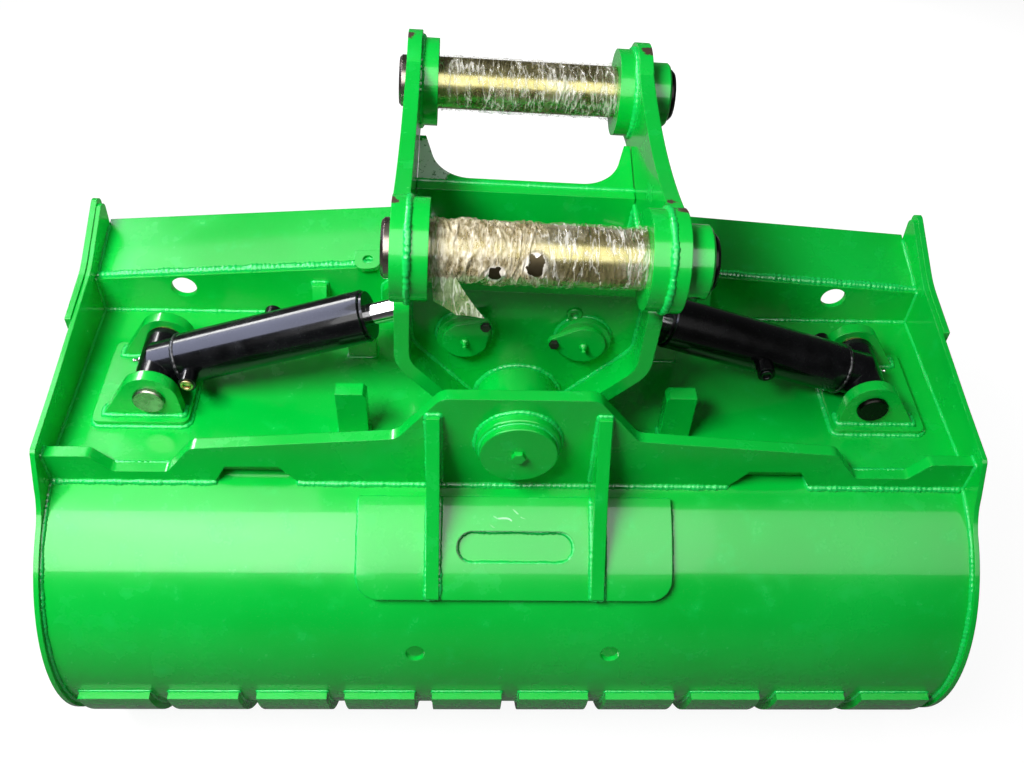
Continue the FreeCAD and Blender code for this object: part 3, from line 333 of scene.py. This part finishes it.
def clearFilm(name, shredded=False):
    tint, white, base = filmLook[name]
    s = Shader(name)
    place = s.place()
    around = s.node("ShaderNodeMapping", {}, {"Vector": place, "Scale": (1.0, 0.24, 0.24)})
    wide = s.noise(62.0, 3.0, 0.6, around)
    fine = s.noise(170.0, 3.0, 0.6, around)
    patch = s.noise(26.0, 4.0, 0.6, place).spread(0.46, 0.66)
    ridges = (wide - 0.5).math("ABSOLUTE").spread(0.0, 0.040, 1.0, 0.0)
    threads = (fine - 0.5).math("ABSOLUTE").spread(0.0, 0.030, 1.0, 0.0)
    cover = ridges * 0.42 + threads * 0.30 + patch * 0.26
    # ridges and patches turn the film toward the fold colour: partly real whitening of creased film, partly
    # a painted highlight on the creases
    colour = s.mix((ridges + patch * 0.6).clamp(), tint, white)
    height = wide * 0.7 + fine * 0.5 + patch * 0.2
    if shredded:
        along = s.alongX(place)
        torn = (along + patch * 0.03).spread(0.010, 0.040, 1.0, 0.0)
        strands = s.node("ShaderNodeMapping", {}, {"Vector": place, "Scale": (1.0, 0.45, 0.45)})
        fuzz = s.noise(150.0, 5.0, 0.7, strands)
        shreds = s.mix(fuzz.spread(0.40, 0.62), filmLook["shredDark"], filmLook["shredPale"])
        colour = s.mix(torn * 0.7, colour, shreds)
        cover = cover * 0.9 + torn * (fuzz.spread(0.36, 0.60) * 0.30 + 0.30)
        height = height + torn * fuzz * 0.5
        fringe = None
        for tear in tearLook:
            away = s.distance(place, tearCentre(tear)) + patch * 0.003
            near = away.spread(tear["rim"], tear["rim"] + 0.003, 1.0, 0.0)
            fringe = near if fringe is None else fringe.math("MAXIMUM", near)
        colour = s.mix(fringe * 0.8, colour, filmLook["rim"])
        cover = cover + fringe * 0.6
    return s.finish({"Base Color": colour, "Roughness": 0.12, "Alpha": (cover * 0.78 + base).clamp(),
                     "Coat Weight": 1.0, "Coat Roughness": 0.05, "Normal": s.bump(height, 0.9, 0.007)})


pinLook = {
    "zinc": (0.25, 0.22, 0.075), "zincPale": (0.46, 0.42, 0.20),
    # tearShade is painted shade for the pin metal seen through the film's tears
    "bare": (0.30, 0.25, 0.22), "black": (0.014, 0.013, 0.012), "tearShade": (0.050, 0.036, 0.024),
    "footDark": (0.20, 0.20, 0.15), "footPale": (0.40, 0.39, 0.32),
    "plateEnd": 0.170,
}


def hangerMetal(name):
    # plated in the middle, bare at the left end and black at the right end, with painted shade on the pin
    # round each tear in the film, where the bare metal is darkened as if it mirrored nothing bright
    s = Shader(name)
    place = s.place()
    along = s.alongX(place)
    cloud = s.noise(34.0, 4.0, 0.6, place)
    grain = s.noise(300.0, 3.0, 0.6, place)
    colour = s.mix(cloud.spread(0.35, 0.7), pinLook["zinc"], pinLook["zincPale"])
    end = pinLook["plateEnd"]
    colour = s.mix(along.spread(-end - 0.002, -end, 1.0, 0.0), colour, pinLook["bare"])
    colour = s.mix(along.spread(end, end + 0.002), colour, pinLook["black"])
    rough = cloud.spread(0.3, 0.75, 0.20, 0.34)
    # painted shade round each tear: the metal is darkened there as if it mirrored nothing bright, and made
    # rougher
    for tear in tearLook:
        reach = s.distance(place, tearCentre(tear))
        tearShadeMask = reach.spread(tear["size"] + 0.003, tear["size"] + 0.009, 1.0, 0.0)
        colour = s.mix(tearShadeMask * 0.9, colour, pinLook["tearShade"])
        rough = rough + tearShadeMask * 0.25
    edge = s.rounded(0.0012)
    return s.finish({"Base Color": colour, "Metallic": 1.0, "Roughness": rough,
                     "Normal": s.bump(grain + cloud * 0.5, 0.10, 0.0005, edge)})


def basePinMetal(name):
    # the left pin's face is bare and the right one's is oiled black
    s = Shader(name)
    place = s.place()
    along = s.alongX(place)
    cloud = s.noise(60.0, 4.0, 0.6, place)
    bare = s.mix(cloud.spread(0.35, 0.65), pinLook["footDark"], pinLook["footPale"])
    colour = s.mix(along.spread(-0.01, 0.01), bare, pinLook["black"])
    return s.finish({"Base Color": colour, "Metallic": 1.0,
                     "Roughness": cloud.spread(0.3, 0.75, 0.22, 0.36),
                     "Normal": s.bump(cloud, 0.10, 0.0005)})


paint = greenPaint("green paint")
paintHead = greenPaint("green paint with chips", chips=True)
paintDoubler = greenPaint("green paint with scratches", scratches=True)
# worn=True gives the cross plate its painted reflection patch
paintCross = greenPaint("green paint, painted reflection on corner", worn=True)
paintBead = greenPaint("green paint over weld", beadRipple=True)
blackGloss = blackPaint("black gloss")
blackBead = blackWeld("black paint over weld")
chrome = metalFinish("polished chrome", strength=0.03)
turnedSteel = metalFinish("turned steel")
darkFace = metalFinish("blackened steel", metallic=0.85)
hangerPins = hangerMetal("hanger pin")
basePins = basePinMetal("base pin")
bronze = metalFinish("bronze")
filmRear = clearFilm("film on rear pin", shredded=True)
filmFront = clearFilm("film on front pin")
filmLoose = clearFilm("loose film")
print("finishes made")

nodeFinish = {
    "shell_doubler": paintDoubler, "pivot_pin": turnedSteel, "thrust_washers": bronze,
    "base_pins": basePins, "pivot_bushes": bronze, "rod_pin_ends": turnedSteel,
    "hanger_pin_rear": hangerPins, "hanger_pin_front": hangerPins, "collar_bolts": darkFace,
    # the keeper bolts take the near-black steel as painted shade, standing in for the dark recesses they
    # sit in
    "cross_plate": paintCross, "ear_left": paintHead, "ear_right": paintHead, "keeper_bolts": darkFace,
}
for side in ("left", "right"):
    nodeFinish.update({
        "base_eye_" + side: blackGloss, "eye_bushes_" + side: bronze, "barrel_" + side: blackGloss,
        "gland_" + side: blackGloss, "ports_" + side: blackGloss, "rod_" + side: chrome,
        "piston_" + side: turnedSteel, "rod_eye_" + side: blackGloss, "rod_pin_" + side: turnedSteel,
    })
for name, obj in nodes.items():
    obj.data.materials.clear()
    obj.data.materials.append(nodeFinish.get(name, paint))


# weld beads, found where the sharp edges of one solid lie on another

beadLook = {
    "ringStep": 0.0026, "corners": 7, "ripple": 0.14, "wander": 0.30,
    "touch": 0.0006, "probeStep": 0.006, "sharp": math.radians(28), "join": 2e-5,
}
seams = [
    # (solid with the edges, solid it stands on, bead radius)
    ("rear_pivot_plate", "shell", 0.0062), ("bed_plate", "rear_pivot_plate", 0.0040),
    ("front_wall", "bed_plate", 0.0052), ("front_lip_panel", "front_wall", 0.0075),
    ("front_wall", "end_plate_left", 0.0035), ("front_wall", "end_plate_right", 0.0035),
    ("front_lip_panel", "end_plate_left", 0.0040), ("front_lip_panel", "end_plate_right", 0.0040),
    ("bed_plate", "end_plate_left", 0.0035), ("bed_plate", "end_plate_right", 0.0035),
    ("shell", "end_plate_left", 0.0045), ("shell", "end_plate_right", 0.0045),
    ("rear_pivot_plate", "end_plate_left", 0.0035), ("rear_pivot_plate", "end_plate_right", 0.0035),
    ("side_cutters", "end_plate_left", 0.0035), ("side_cutters", "end_plate_right", 0.0035),
    ("heel_strips", "shell", 0.0030), ("shell_doubler", "shell", 0.0045),
    ("rear_ribs", "shell_doubler", 0.0045), ("rear_ribs", "rear_pivot_plate", 0.0045),
    ("rear_pivot_boss", "rear_pivot_plate", 0.0045), ("pivot_cap", "rear_pivot_boss", 0.0025),
    ("front_pivot_plate", "bed_plate", 0.0040), ("front_pivot_plate", "front_wall", 0.0040),
    ("stop_blocks", "bed_plate", 0.0040), ("lug_pads", "bed_plate", 0.0052),
    ("cylinder_lugs", "lug_pads", 0.0055), ("wall_ribs", "bed_plate", 0.0035),
    ("wall_ribs", "front_wall", 0.0035), ("lifting_tab", "front_lip_panel", 0.0025),
    ("head_rear_cheek", "pivot_tube", 0.0050), ("head_front_cheek", "pivot_tube", 0.0045),
    ("head_rear_cheek", "head_side_left", 0.0042), ("head_rear_cheek", "head_side_right", 0.0042),
    ("head_front_cheek", "head_side_left", 0.0042), ("head_front_cheek", "head_side_right", 0.0042),
    ("head_side_left", "pivot_tube", 0.0042), ("head_side_right", "pivot_tube", 0.0042),
    ("ear_left", "head_side_left", 0.0045), ("ear_right", "head_side_right", 0.0045),
    ("ear_bosses", "ear_left", 0.0052), ("ear_bosses", "ear_right", 0.0052),
    ("cross_plate", "head_front_cheek", 0.0042), ("cross_plate", "head_side_left", 0.0040),
    ("cross_plate", "head_side_right", 0.0040), ("cross_plate", "ear_left", 0.0040),
    ("cross_plate", "ear_right", 0.0040), ("rod_pin_bosses", "head_rear_cheek", 0.0035),
    ("pin_collars", "ear_right", 0.0040),
]


def edgesOn(solid, other):
    # stretches of sharp edge that lie on the other solid, as lists of points
    source = bmesh.new()
    source.from_mesh(nodes[solid].data)
    bmesh.ops.remove_doubles(source, verts=source.verts, dist=2e-6)
    target = bmesh.new()
    target.from_mesh(nodes[other].data)
    tree = BVHTree.FromBMesh(target)
    runs = []
    for edge in source.edges:
        if len(edge.link_faces) == 2 and edge.calc_face_angle(0.0) < beadLook["sharp"]:
            continue
        first, last = edge.verts[0].co, edge.verts[1].co
        length = (last - first).length
        count = max(1, round(length / beadLook["probeStep"]))
        run = []
        for i in range(count + 1):
            point = first.lerp(last, i / count)
            found = tree.find_nearest(point, 0.01)
            if found[0] is not None and found[3] < beadLook["touch"]:
                run.append(point.copy())
            else:
                if len(run) > 1:
                    runs.append(run)
                run = []
        if len(run) > 1:
            runs.append(run)
    source.free()
    target.free()
    return runs


def joinRuns(runs):
    # stretches that share an end become one line
    joined = []
    left = [list(r) for r in runs]
    while left:
        line = left.pop()
        grown = True
        while grown:
            grown = False
            for i, other in enumerate(left):
                for a, b in ((0, 0), (0, -1), (-1, 0), (-1, -1)):
                    if (line[a] - other[b]).length < beadLook["join"]:
                        ahead = other if b == 0 else other[::-1]
                        line = line + ahead[1:] if a == -1 else ahead[::-1][:-1] + line
                        left.pop(i)
                        grown = True
                        break
                if grown:
                    break
        joined.append(line)
    return joined


def evenly(line, step):
    # points at even steps along the line, with its last point
    points = [line[0]]
    spare = 0.0
    for a, b in zip(line, line[1:]):
        length = (b - a).length
        if length < 1e-9:
            continue
        along = step - spare
        while along <= length:
            points.append(a.lerp(b, along / length))
            along += step
        spare = (spare + length) % step
    if (points[-1] - line[-1]).length > step * 0.3:
        points.append(line[-1])
    return points


def addBead(mesh, line, radius, dice):
    points = evenly(line, beadLook["ringStep"])
    if len(points) < 3:
        return
    closed = (line[0] - line[-1]).length < beadLook["join"] and len(points) > 6
    if closed and (points[0] - points[-1]).length < beadLook["ringStep"] * 0.6:
        points.pop()
    count = len(points)
    rings = []
    side = None
    phase = dice.random() * 6.28
    for i, point in enumerate(points):
        ahead = points[(i + 1) % count] if closed or i < count - 1 else point
        behind = points[i - 1] if closed or i > 0 else point
        run = ahead - behind
        if run.length < 1e-9:
            continue
        run.normalize()
        if side is None or abs(side.dot(run)) > 0.95:
            side = run.orthogonal()
        side = (side - run * side.dot(run)).normalized()
        up = run.cross(side)
        swell = 1 + beadLook["ripple"] * math.sin(i * 2.1 + phase + 5.0 * noise.noise(point * 38.0))
        swell += beadLook["wander"] * noise.noise(point * 55.0)
        taper = 1.0 if closed else min(1.0, 0.45 + 0.25 * min(i, count - 1 - i))
        near = point * 70.0
        drift = Vector((noise.noise(near), noise.noise(near + Vector((5, 1, 3))), 0)) * radius * 0.15
        ring = []
        for k in range(beadLook["corners"]):
            turn = 2 * math.pi * k / beadLook["corners"]
            outward = side * math.cos(turn) + up * math.sin(turn)
            ring.append(mesh.verts.new(point + drift + outward * radius * swell * taper))
        rings.append(ring)
    if len(rings) < 3:
        return
    pairs = list(zip(rings, rings[1:]))
    if closed:
        pairs.append((rings[-1], rings[0]))
    for a, b in pairs:
        for k in range(beadLook["corners"]):
            n = (k + 1) % beadLook["corners"]
            mesh.faces.new((a[k], a[n], b[n], b[k]))
    if not closed:
        mesh.faces.new(rings[0][::-1])
        mesh.faces.new(rings[-1])


def placeMesh(name, mesh, material, body):
    data = bpy.data.meshes.new(name)
    bmesh.ops.recalc_face_normals(mesh, faces=mesh.faces)
    mesh.to_mesh(data)
    mesh.free()
    data.materials.append(material)
    data.shade_smooth()
    obj = bpy.data.objects.new(name, data)
    bpy.context.scene.collection.objects.link(obj)
    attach(obj, body)
    return obj


bodies = frame["record"]["behaviour"]["bodies"]
bodyOf = {name: body for body, names in bodies.items() for name in names}
beadMeshes = {}
dice = random.Random(7)
for solid, other, radius in seams:
    body = bodyOf[solid]
    if body not in beadMeshes:
        beadMeshes[body] = bmesh.new()
    lines = joinRuns(edgesOn(solid, other))
    for line in lines:
        addBead(beadMeshes[body], line, radius, dice)
    print("seam", solid, other, len(lines))
for body, mesh in beadMeshes.items():
    print("beads on", body, len(mesh.verts))
    placeMesh("weld_beads_" + body, mesh, paintBead, body)


# film wrapped round the hanger pins

filmWrap = {
    "rear": {"film": filmRear, "tears": tearLook, "seed": 0.0},
    "front": {"film": filmFront, "tears": [], "seed": 3.7},
    "ends": (-0.1415, 0.1415), "lift": 0.0011, "crease": 0.0048, "around": 170, "along": 300,
}
filmFlap = {
    "top": [(-0.1375, -0.001, 0.324), (-0.108, -0.001, 0.326)],
    "bottom": [(-0.1340, -0.006, 0.284), (-0.103, -0.012, 0.268), (-0.066, -0.016, 0.267)],
    "flat": (0.073, 0.074), "area": 0.00261, "rows": 26, "columns": 34, "crumple": 0.0016,
}


def creases(x, turn, seed):
    # ridges run round the pin, and the film bunches up at its right end
    slant = 0.007 * math.sin(turn + 7 * noise.noise(Vector((x * 9.0, seed, 0.0))))
    spot = Vector(((x + slant) * 62.0, math.cos(turn) * 0.9, math.sin(turn) * 0.9 + seed))
    big = max(0.0, 1 - abs(noise.noise(spot)) * 3.6)
    small = max(0.0, 1 - abs(noise.noise(spot * 2.4 + Vector((3, 7, 1)))) * 3.0)
    patch = max(0.0, noise.noise(Vector((x * 24.0, math.cos(turn) * 1.5, math.sin(turn) * 1.5 + seed))))
    end = max(0.0, 1 - abs(x - 0.133) / 0.007)
    return 0.46 * big ** 1.4 + 0.26 * small ** 1.3 + 0.40 * patch + 0.35 * end


def isTorn(x, turn, tears, seed):
    # true inside the ragged outline of a tear
    for tear in tears:
        lag = (turn - tear["turn"] + math.pi) % (2 * math.pi) - math.pi
        reach = math.hypot(x - tear["x"], lag * hangerPlace["radius"] * 0.8)
        if reach < tear["size"] * (0.85 + 0.5 * noise.noise(Vector((x * 120, turn * 5, seed)))):
            return True
    return False


def wrapFilm(end):
    # a tube of film round one pin, open at both ends
    y, z = hangerPlace[end]
    tears, seed = filmWrap[end]["tears"], filmWrap[end]["seed"]
    around, along = filmWrap["around"], filmWrap["along"]
    start, stop = filmWrap["ends"]
    mesh = bmesh.new()
    rows = []
    for i in range(along + 1):
        x = start + (stop - start) * i / along
        row = []
        for k in range(around):
            turn = 2 * math.pi * k / around
            radius = hangerPlace["radius"] + filmWrap["lift"] + filmWrap["crease"] * creases(x, turn, seed)
            row.append(mesh.verts.new(onHead(x, y + radius * math.cos(turn), z + radius * math.sin(turn))))
        rows.append(row)
    for i in range(along):
        x = start + (stop - start) * (i + 0.5) / along
        for k in range(around):
            if not isTorn(x, 2 * math.pi * (k + 0.5) / around, tears, seed):
                n = (k + 1) % around
                mesh.faces.new((rows[i][k], rows[i][n], rows[i + 1][n], rows[i + 1][k]))
    loose = [v for v in mesh.verts if not v.link_faces]
    bmesh.ops.delete(mesh, geom=loose, context="VERTS")
    return placeMesh("pin_film_" + end, mesh, filmWrap[end]["film"], "head")


def alongPath(points, part):
    # place at a share of the way through a list of points
    part *= len(points) - 1
    i = min(int(part), len(points) - 2)
    return Vector(points[i]).lerp(Vector(points[i + 1]), part - i)


def hangFlap():
    # the loose corner of the rear film, in front of the rear cheek
    mesh = bmesh.new()
    rows, columns = filmFlap["rows"], filmFlap["columns"]
    grid = []
    for i in range(rows + 1):
        line = []
        for k in range(columns + 1):
            down, side = i / rows, k / columns
            point = alongPath(filmFlap["top"], side).lerp(alongPath(filmFlap["bottom"], side), down)
            wave = noise.noise(point * 38.0) + 0.5 * noise.noise(point * 95.0)
            point.y += filmFlap["crumple"] * wave * (0.3 + down) - 0.004 * math.sin(down * math.pi)
            line.append(mesh.verts.new(onHead(*point)))
        grid.append(line)
    for i in range(rows):
        for k in range(columns):
            mesh.faces.new((grid[i][k], grid[i][k + 1], grid[i + 1][k + 1], grid[i + 1][k]))
    print("flap area", round(sum(f.calc_area() for f in mesh.faces), 6))
    flap = placeMesh("pin_film_flap", mesh, filmLoose, "head")


wrapFilm("rear")
wrapFilm("front")
hangFlap()
print("pin film made")


# grease nipples, port rings and the small threaded stud hole

def lathe(mesh, profile, place, axis, steps=28):
    # turns an outline about the axis and closes both ends
    turn = Vector((0, 0, 1)).rotation_difference(Vector(axis).normalized()).to_matrix().to_4x4()
    frameAt = Matrix.Translation(place) @ turn
    rings = []
    for height, radius in profile:
        turns = [2 * math.pi * k / steps for k in range(steps)]
        circle = [Vector((radius * math.cos(t), radius * math.sin(t), height)) for t in turns]
        rings.append([mesh.verts.new(frameAt @ point) for point in circle])
    for a, b in zip(rings, rings[1:]):
        for k in range(steps):
            n = (k + 1) % steps
            mesh.faces.new((a[k], a[n], b[n], b[k]))
    mesh.faces.new(rings[0][::-1])
    mesh.faces.new(rings[-1])


# outlines to turn, as (distance along the axis, radius)
greaseNipple = [(0.0, 0.0062), (0.0042, 0.0062), (0.0048, 0.0045), (0.0060, 0.0034), (0.0085, 0.0030),
                (0.0092, 0.0020), (0.0110, 0.0020), (0.0118, 0.0033), (0.0135, 0.0034), (0.0148, 0.0022),
                (0.0150, 0.0006)]
portRing = [(0.0, 0.0105), (0.0022, 0.0105), (0.0028, 0.0098), (0.0028, 0.0064), (0.0006, 0.0062),
            (-0.004, 0.0059)]
studHole = [(0.0, 0.0120), (0.0030, 0.0118), (0.0040, 0.0105), (0.0040, 0.0060), (-0.0030, 0.0056)]
cylinderPlace = {
    # foot pin, then the way to the rod pin at rest
    "left": (onBucket(-0.584, 0.185, -0.035), Vector((0.9469074, 0, 0.3215064))),
    "right": (onBucket(0.584, 0.185, -0.035), Vector((-0.9486643, 0, 0.3162848))),
    "basePort": 0.064, "rodPort": 0.196, "portTip": 0.064, "tubeRadius": 0.032,
    "neckRadius": 0.0388, "neckEnd": 0.0462, "neckBead": 0.0042,
}
headFittings = {
    "stud": (0.0715, 0.097, 0.1775),
    "keeperNipples": [(-0.088, 0.0772, 0.132), (0.088, 0.0772, 0.132)],
}


def cylinderDetails(side, sign):
    foot, along = cylinderPlace[side]
    body = side + "_barrel"
    for port, way in (("base", sign), ("rod", -sign)):
        tip = foot + along * cylinderPlace[port + "Port"] + Vector((0, way * cylinderPlace["portTip"], 0))
        ring = bmesh.new()
        lathe(ring, portRing, tip, (0, way, 0))
        isBrass = (side, port) == ("left", "base")  # the one ring without paint
        placeMesh("port_ring_" + side + "_" + port, ring, brassRing if isBrass else blackGloss,
                  body)
    across = Vector((0, 1, 0))
    upright = along.cross(across)
    neck, radius = foot + along * cylinderPlace["neckEnd"], cylinderPlace["neckRadius"]
    turns = [2 * math.pi * k / 120 for k in range(121)]
    circle = [neck + (across * math.cos(t) + upright * math.sin(t)) * radius for t in turns]
    neckBead = bmesh.new()
    addBead(neckBead, circle, cylinderPlace["neckBead"], dice)
    placeMesh("neck_bead_" + side, neckBead, blackBead, body)
    outward = (-along + Vector((0, 0, 0.25))).normalized()
    seat = foot + outward * (cylinderPlace["tubeRadius"] - 0.001) + Vector((0, 0.012, 0))
    nipple = bmesh.new()
    lathe(nipple, greaseNipple, seat, outward)
    placeMesh("grease_nipple_" + side, nipple, zincPlate, body)


brassRing = metalFinish("brass ring")
zincPlate = metalFinish("zinc plate")
for side, sign in (("left", -1), ("right", 1)):
    cylinderDetails(side, sign)
studBoss = bmesh.new()
lathe(studBoss, studHole, onHead(*headFittings["stud"]), (0, -1, 0))
placeMesh("stud_boss", studBoss, paint, "head")
keeperNipples = bmesh.new()
for seat in headFittings["keeperNipples"]:
    lathe(keeperNipples, greaseNipple, onHead(*seat), (0, -1, 0))
placeMesh("keeper_nipples", keeperNipples, paint, "head")
print("small fittings made")


# floor, light and camera

white = (1.0, 1.0, 1.0)
stageLook = {
    "floorSize": 14.0, "floorDrop": 0.0005, "glow": 1.50, "glowSeen": 0.62, "glowMirrored": 0.05,
    "matte": (0.30, 0.30, 0.30), "matteMirrored": (0.10, 0.10, 0.10),
    "sky": 0.042, "skyMirrored": 0.03,
}


def rayKinds(s):
    # 1 for camera rays, and 1 for rays that a mirror or glass sends on
    seen, shine, through = (s.node("ShaderNodeLightPath", {}, {}, output=kind)
                            for kind in ("Is Camera Ray", "Is Glossy Ray", "Is Transmission Ray"))
    return seen, shine, through


def floor():
    s = Shader("pale floor")
    seen, shine, through = rayKinds(s)
    glow = s.node("ShaderNodeEmission", {}, {"Color": white, "Strength": stageLook["glow"]})
    factor = (seen * stageLook["glowSeen"] + (shine + through) * stageLook["glowMirrored"]).clamp()
    lit = s.node("ShaderNodeBsdfDiffuse", {}, {"Color": stageLook["matte"]})
    dim = s.node("ShaderNodeBsdfDiffuse", {}, {"Color": stageLook["matteMirrored"]})
    matte = s.node("ShaderNodeMixShader", {}, {0: shine, 1: lit, 2: dim})
    mesh = bmesh.new()
    bmesh.ops.create_grid(mesh, x_segments=2, y_segments=2, size=stageLook["floorSize"] / 2)
    data = bpy.data.meshes.new("floor")
    mesh.to_mesh(data)
    mesh.free()
    data.materials.append(s.show(s.node("ShaderNodeMixShader", {}, {0: factor, 1: matte, 2: glow})))
    obj = bpy.data.objects.new("floor", data)
    obj.location.z = -stageLook["floorDrop"]
    bpy.context.scene.collection.objects.link(obj)


def sky():
    s = Shader("studio", world=True)
    seen, shine, through = rayKinds(s)
    dim = s.node("ShaderNodeBackground", {}, {"Color": white, "Strength": stageLook["sky"]})
    bright = s.node("ShaderNodeBackground", {}, {"Color": white, "Strength": 1.0})
    factor = (seen + (shine + through) * stageLook["skyMirrored"]).clamp()
    bpy.context.scene.world = s.show(s.node("ShaderNodeMixShader", {}, {0: factor, 1: dim, 2: bright}))


lampLook = {
    # place, aim, size, radiance, colour, and the surfaces that it lights; the gloss ones stand for
    # the windows and ceiling that the paint mirrors
    "key": ((-1.45, -1.15, 3.0), (-0.1, -0.05, 0.5), (1.7, 0.5), 50.0, white, "matte"),
    "overhead": ((-0.3, 0.3, 3.0), (0.0, 0.0, 0.5), (2.6, 1.6), 0.55, white, "matte"),
    "back fill": ((0.4, 2.6, 1.0), (0.0, 0.1, 0.25), (2.2, 1.0), 10.0, white, "matte"),
    "broad panel": ((-1.22, -1.67, 2.55), (-1.22, -0.66, 0.48), (1.45, 2.06), 7.6, white, "gloss"),
    "dim panel": ((0.20, -1.55, 2.62), (0.20, -0.56, 0.55), (1.40, 2.2), 4.0, white, "gloss"),
    "far panel": ((1.50, -1.55, 2.62), (1.50, -0.56, 0.55), (1.20, 2.2), 2.6, white, "gloss"),
    "top panel": ((-1.32, 0.38, 3.0), (-1.32, 0.38, 0.0), (1.35, 2.2), 3.0, white, "gloss"),
    "window": ((-2.95, 2.55, 3.0), (-2.95, 2.55, 0.0), (1.9, 0.9), 30.0, white, "gloss"),
    "blind": ((-2.95, 0.20, 3.0), (-2.95, 0.20, 0.0), (1.9, 3.5), 10.5, (0.68, 0.72, 1.0), "gloss"),
}


def lamp(name, place, aim, size, radiance, colour, lights):
    data = bpy.data.lights.new(name, "AREA")
    data.shape = "RECTANGLE"
    data.size, data.size_y = size
    data.energy = radiance * math.pi * size[0] * size[1]
    data.color = colour
    obj = bpy.data.objects.new(name, data)
    obj.location = place
    obj.rotation_euler = (Vector(aim) - Vector(place)).to_track_quat("-Z", "Y").to_euler()
    obj.visible_diffuse = lights == "matte"
    obj.visible_glossy = lights == "gloss"
    obj.visible_camera = False
    bpy.context.scene.collection.objects.link(obj)


floor()
sky()
for name, values in lampLook.items():
    lamp(name, *values)

cameraPlace = {
    "at": (-0.077, -1.22226, 1.8819),
    "pitch": 46.55, "yaw": 3.45, "roll": 3.29,  # degrees, pitch down from the level
    "sensor": 36.0, "focalPixels": 1056.7, "pixelsWide": 1024,
    "nearest": 0.05, "farthest": 60.0,
}


def camera():
    pitch, yaw, roll = (math.radians(cameraPlace[k]) for k in ("pitch", "yaw", "roll"))
    ahead = Vector((math.sin(yaw) * math.cos(pitch), math.cos(yaw) * math.cos(pitch), -math.sin(pitch)))
    level = Vector((math.cos(yaw), -math.sin(yaw), 0.0))
    upright = level.cross(ahead)
    right = level * math.cos(roll) + upright * math.sin(roll)
    up = upright * math.cos(roll) - level * math.sin(roll)
    data = bpy.data.cameras.new("photograph")
    data.sensor_width = cameraPlace["sensor"]
    data.lens = cameraPlace["focalPixels"] / cameraPlace["pixelsWide"] * cameraPlace["sensor"]
    data.clip_start = cameraPlace["nearest"]
    data.clip_end = cameraPlace["farthest"]
    obj = bpy.data.objects.new("photograph", data)
    turn = Matrix((right, up, -ahead)).transposed().to_4x4()
    obj.matrix_world = Matrix.Translation(cameraPlace["at"]) @ turn
    bpy.context.scene.collection.objects.link(obj)
    bpy.context.scene.camera = obj


camera()
bpy.context.scene.view_settings.view_transform = "Standard"
print("stage made")
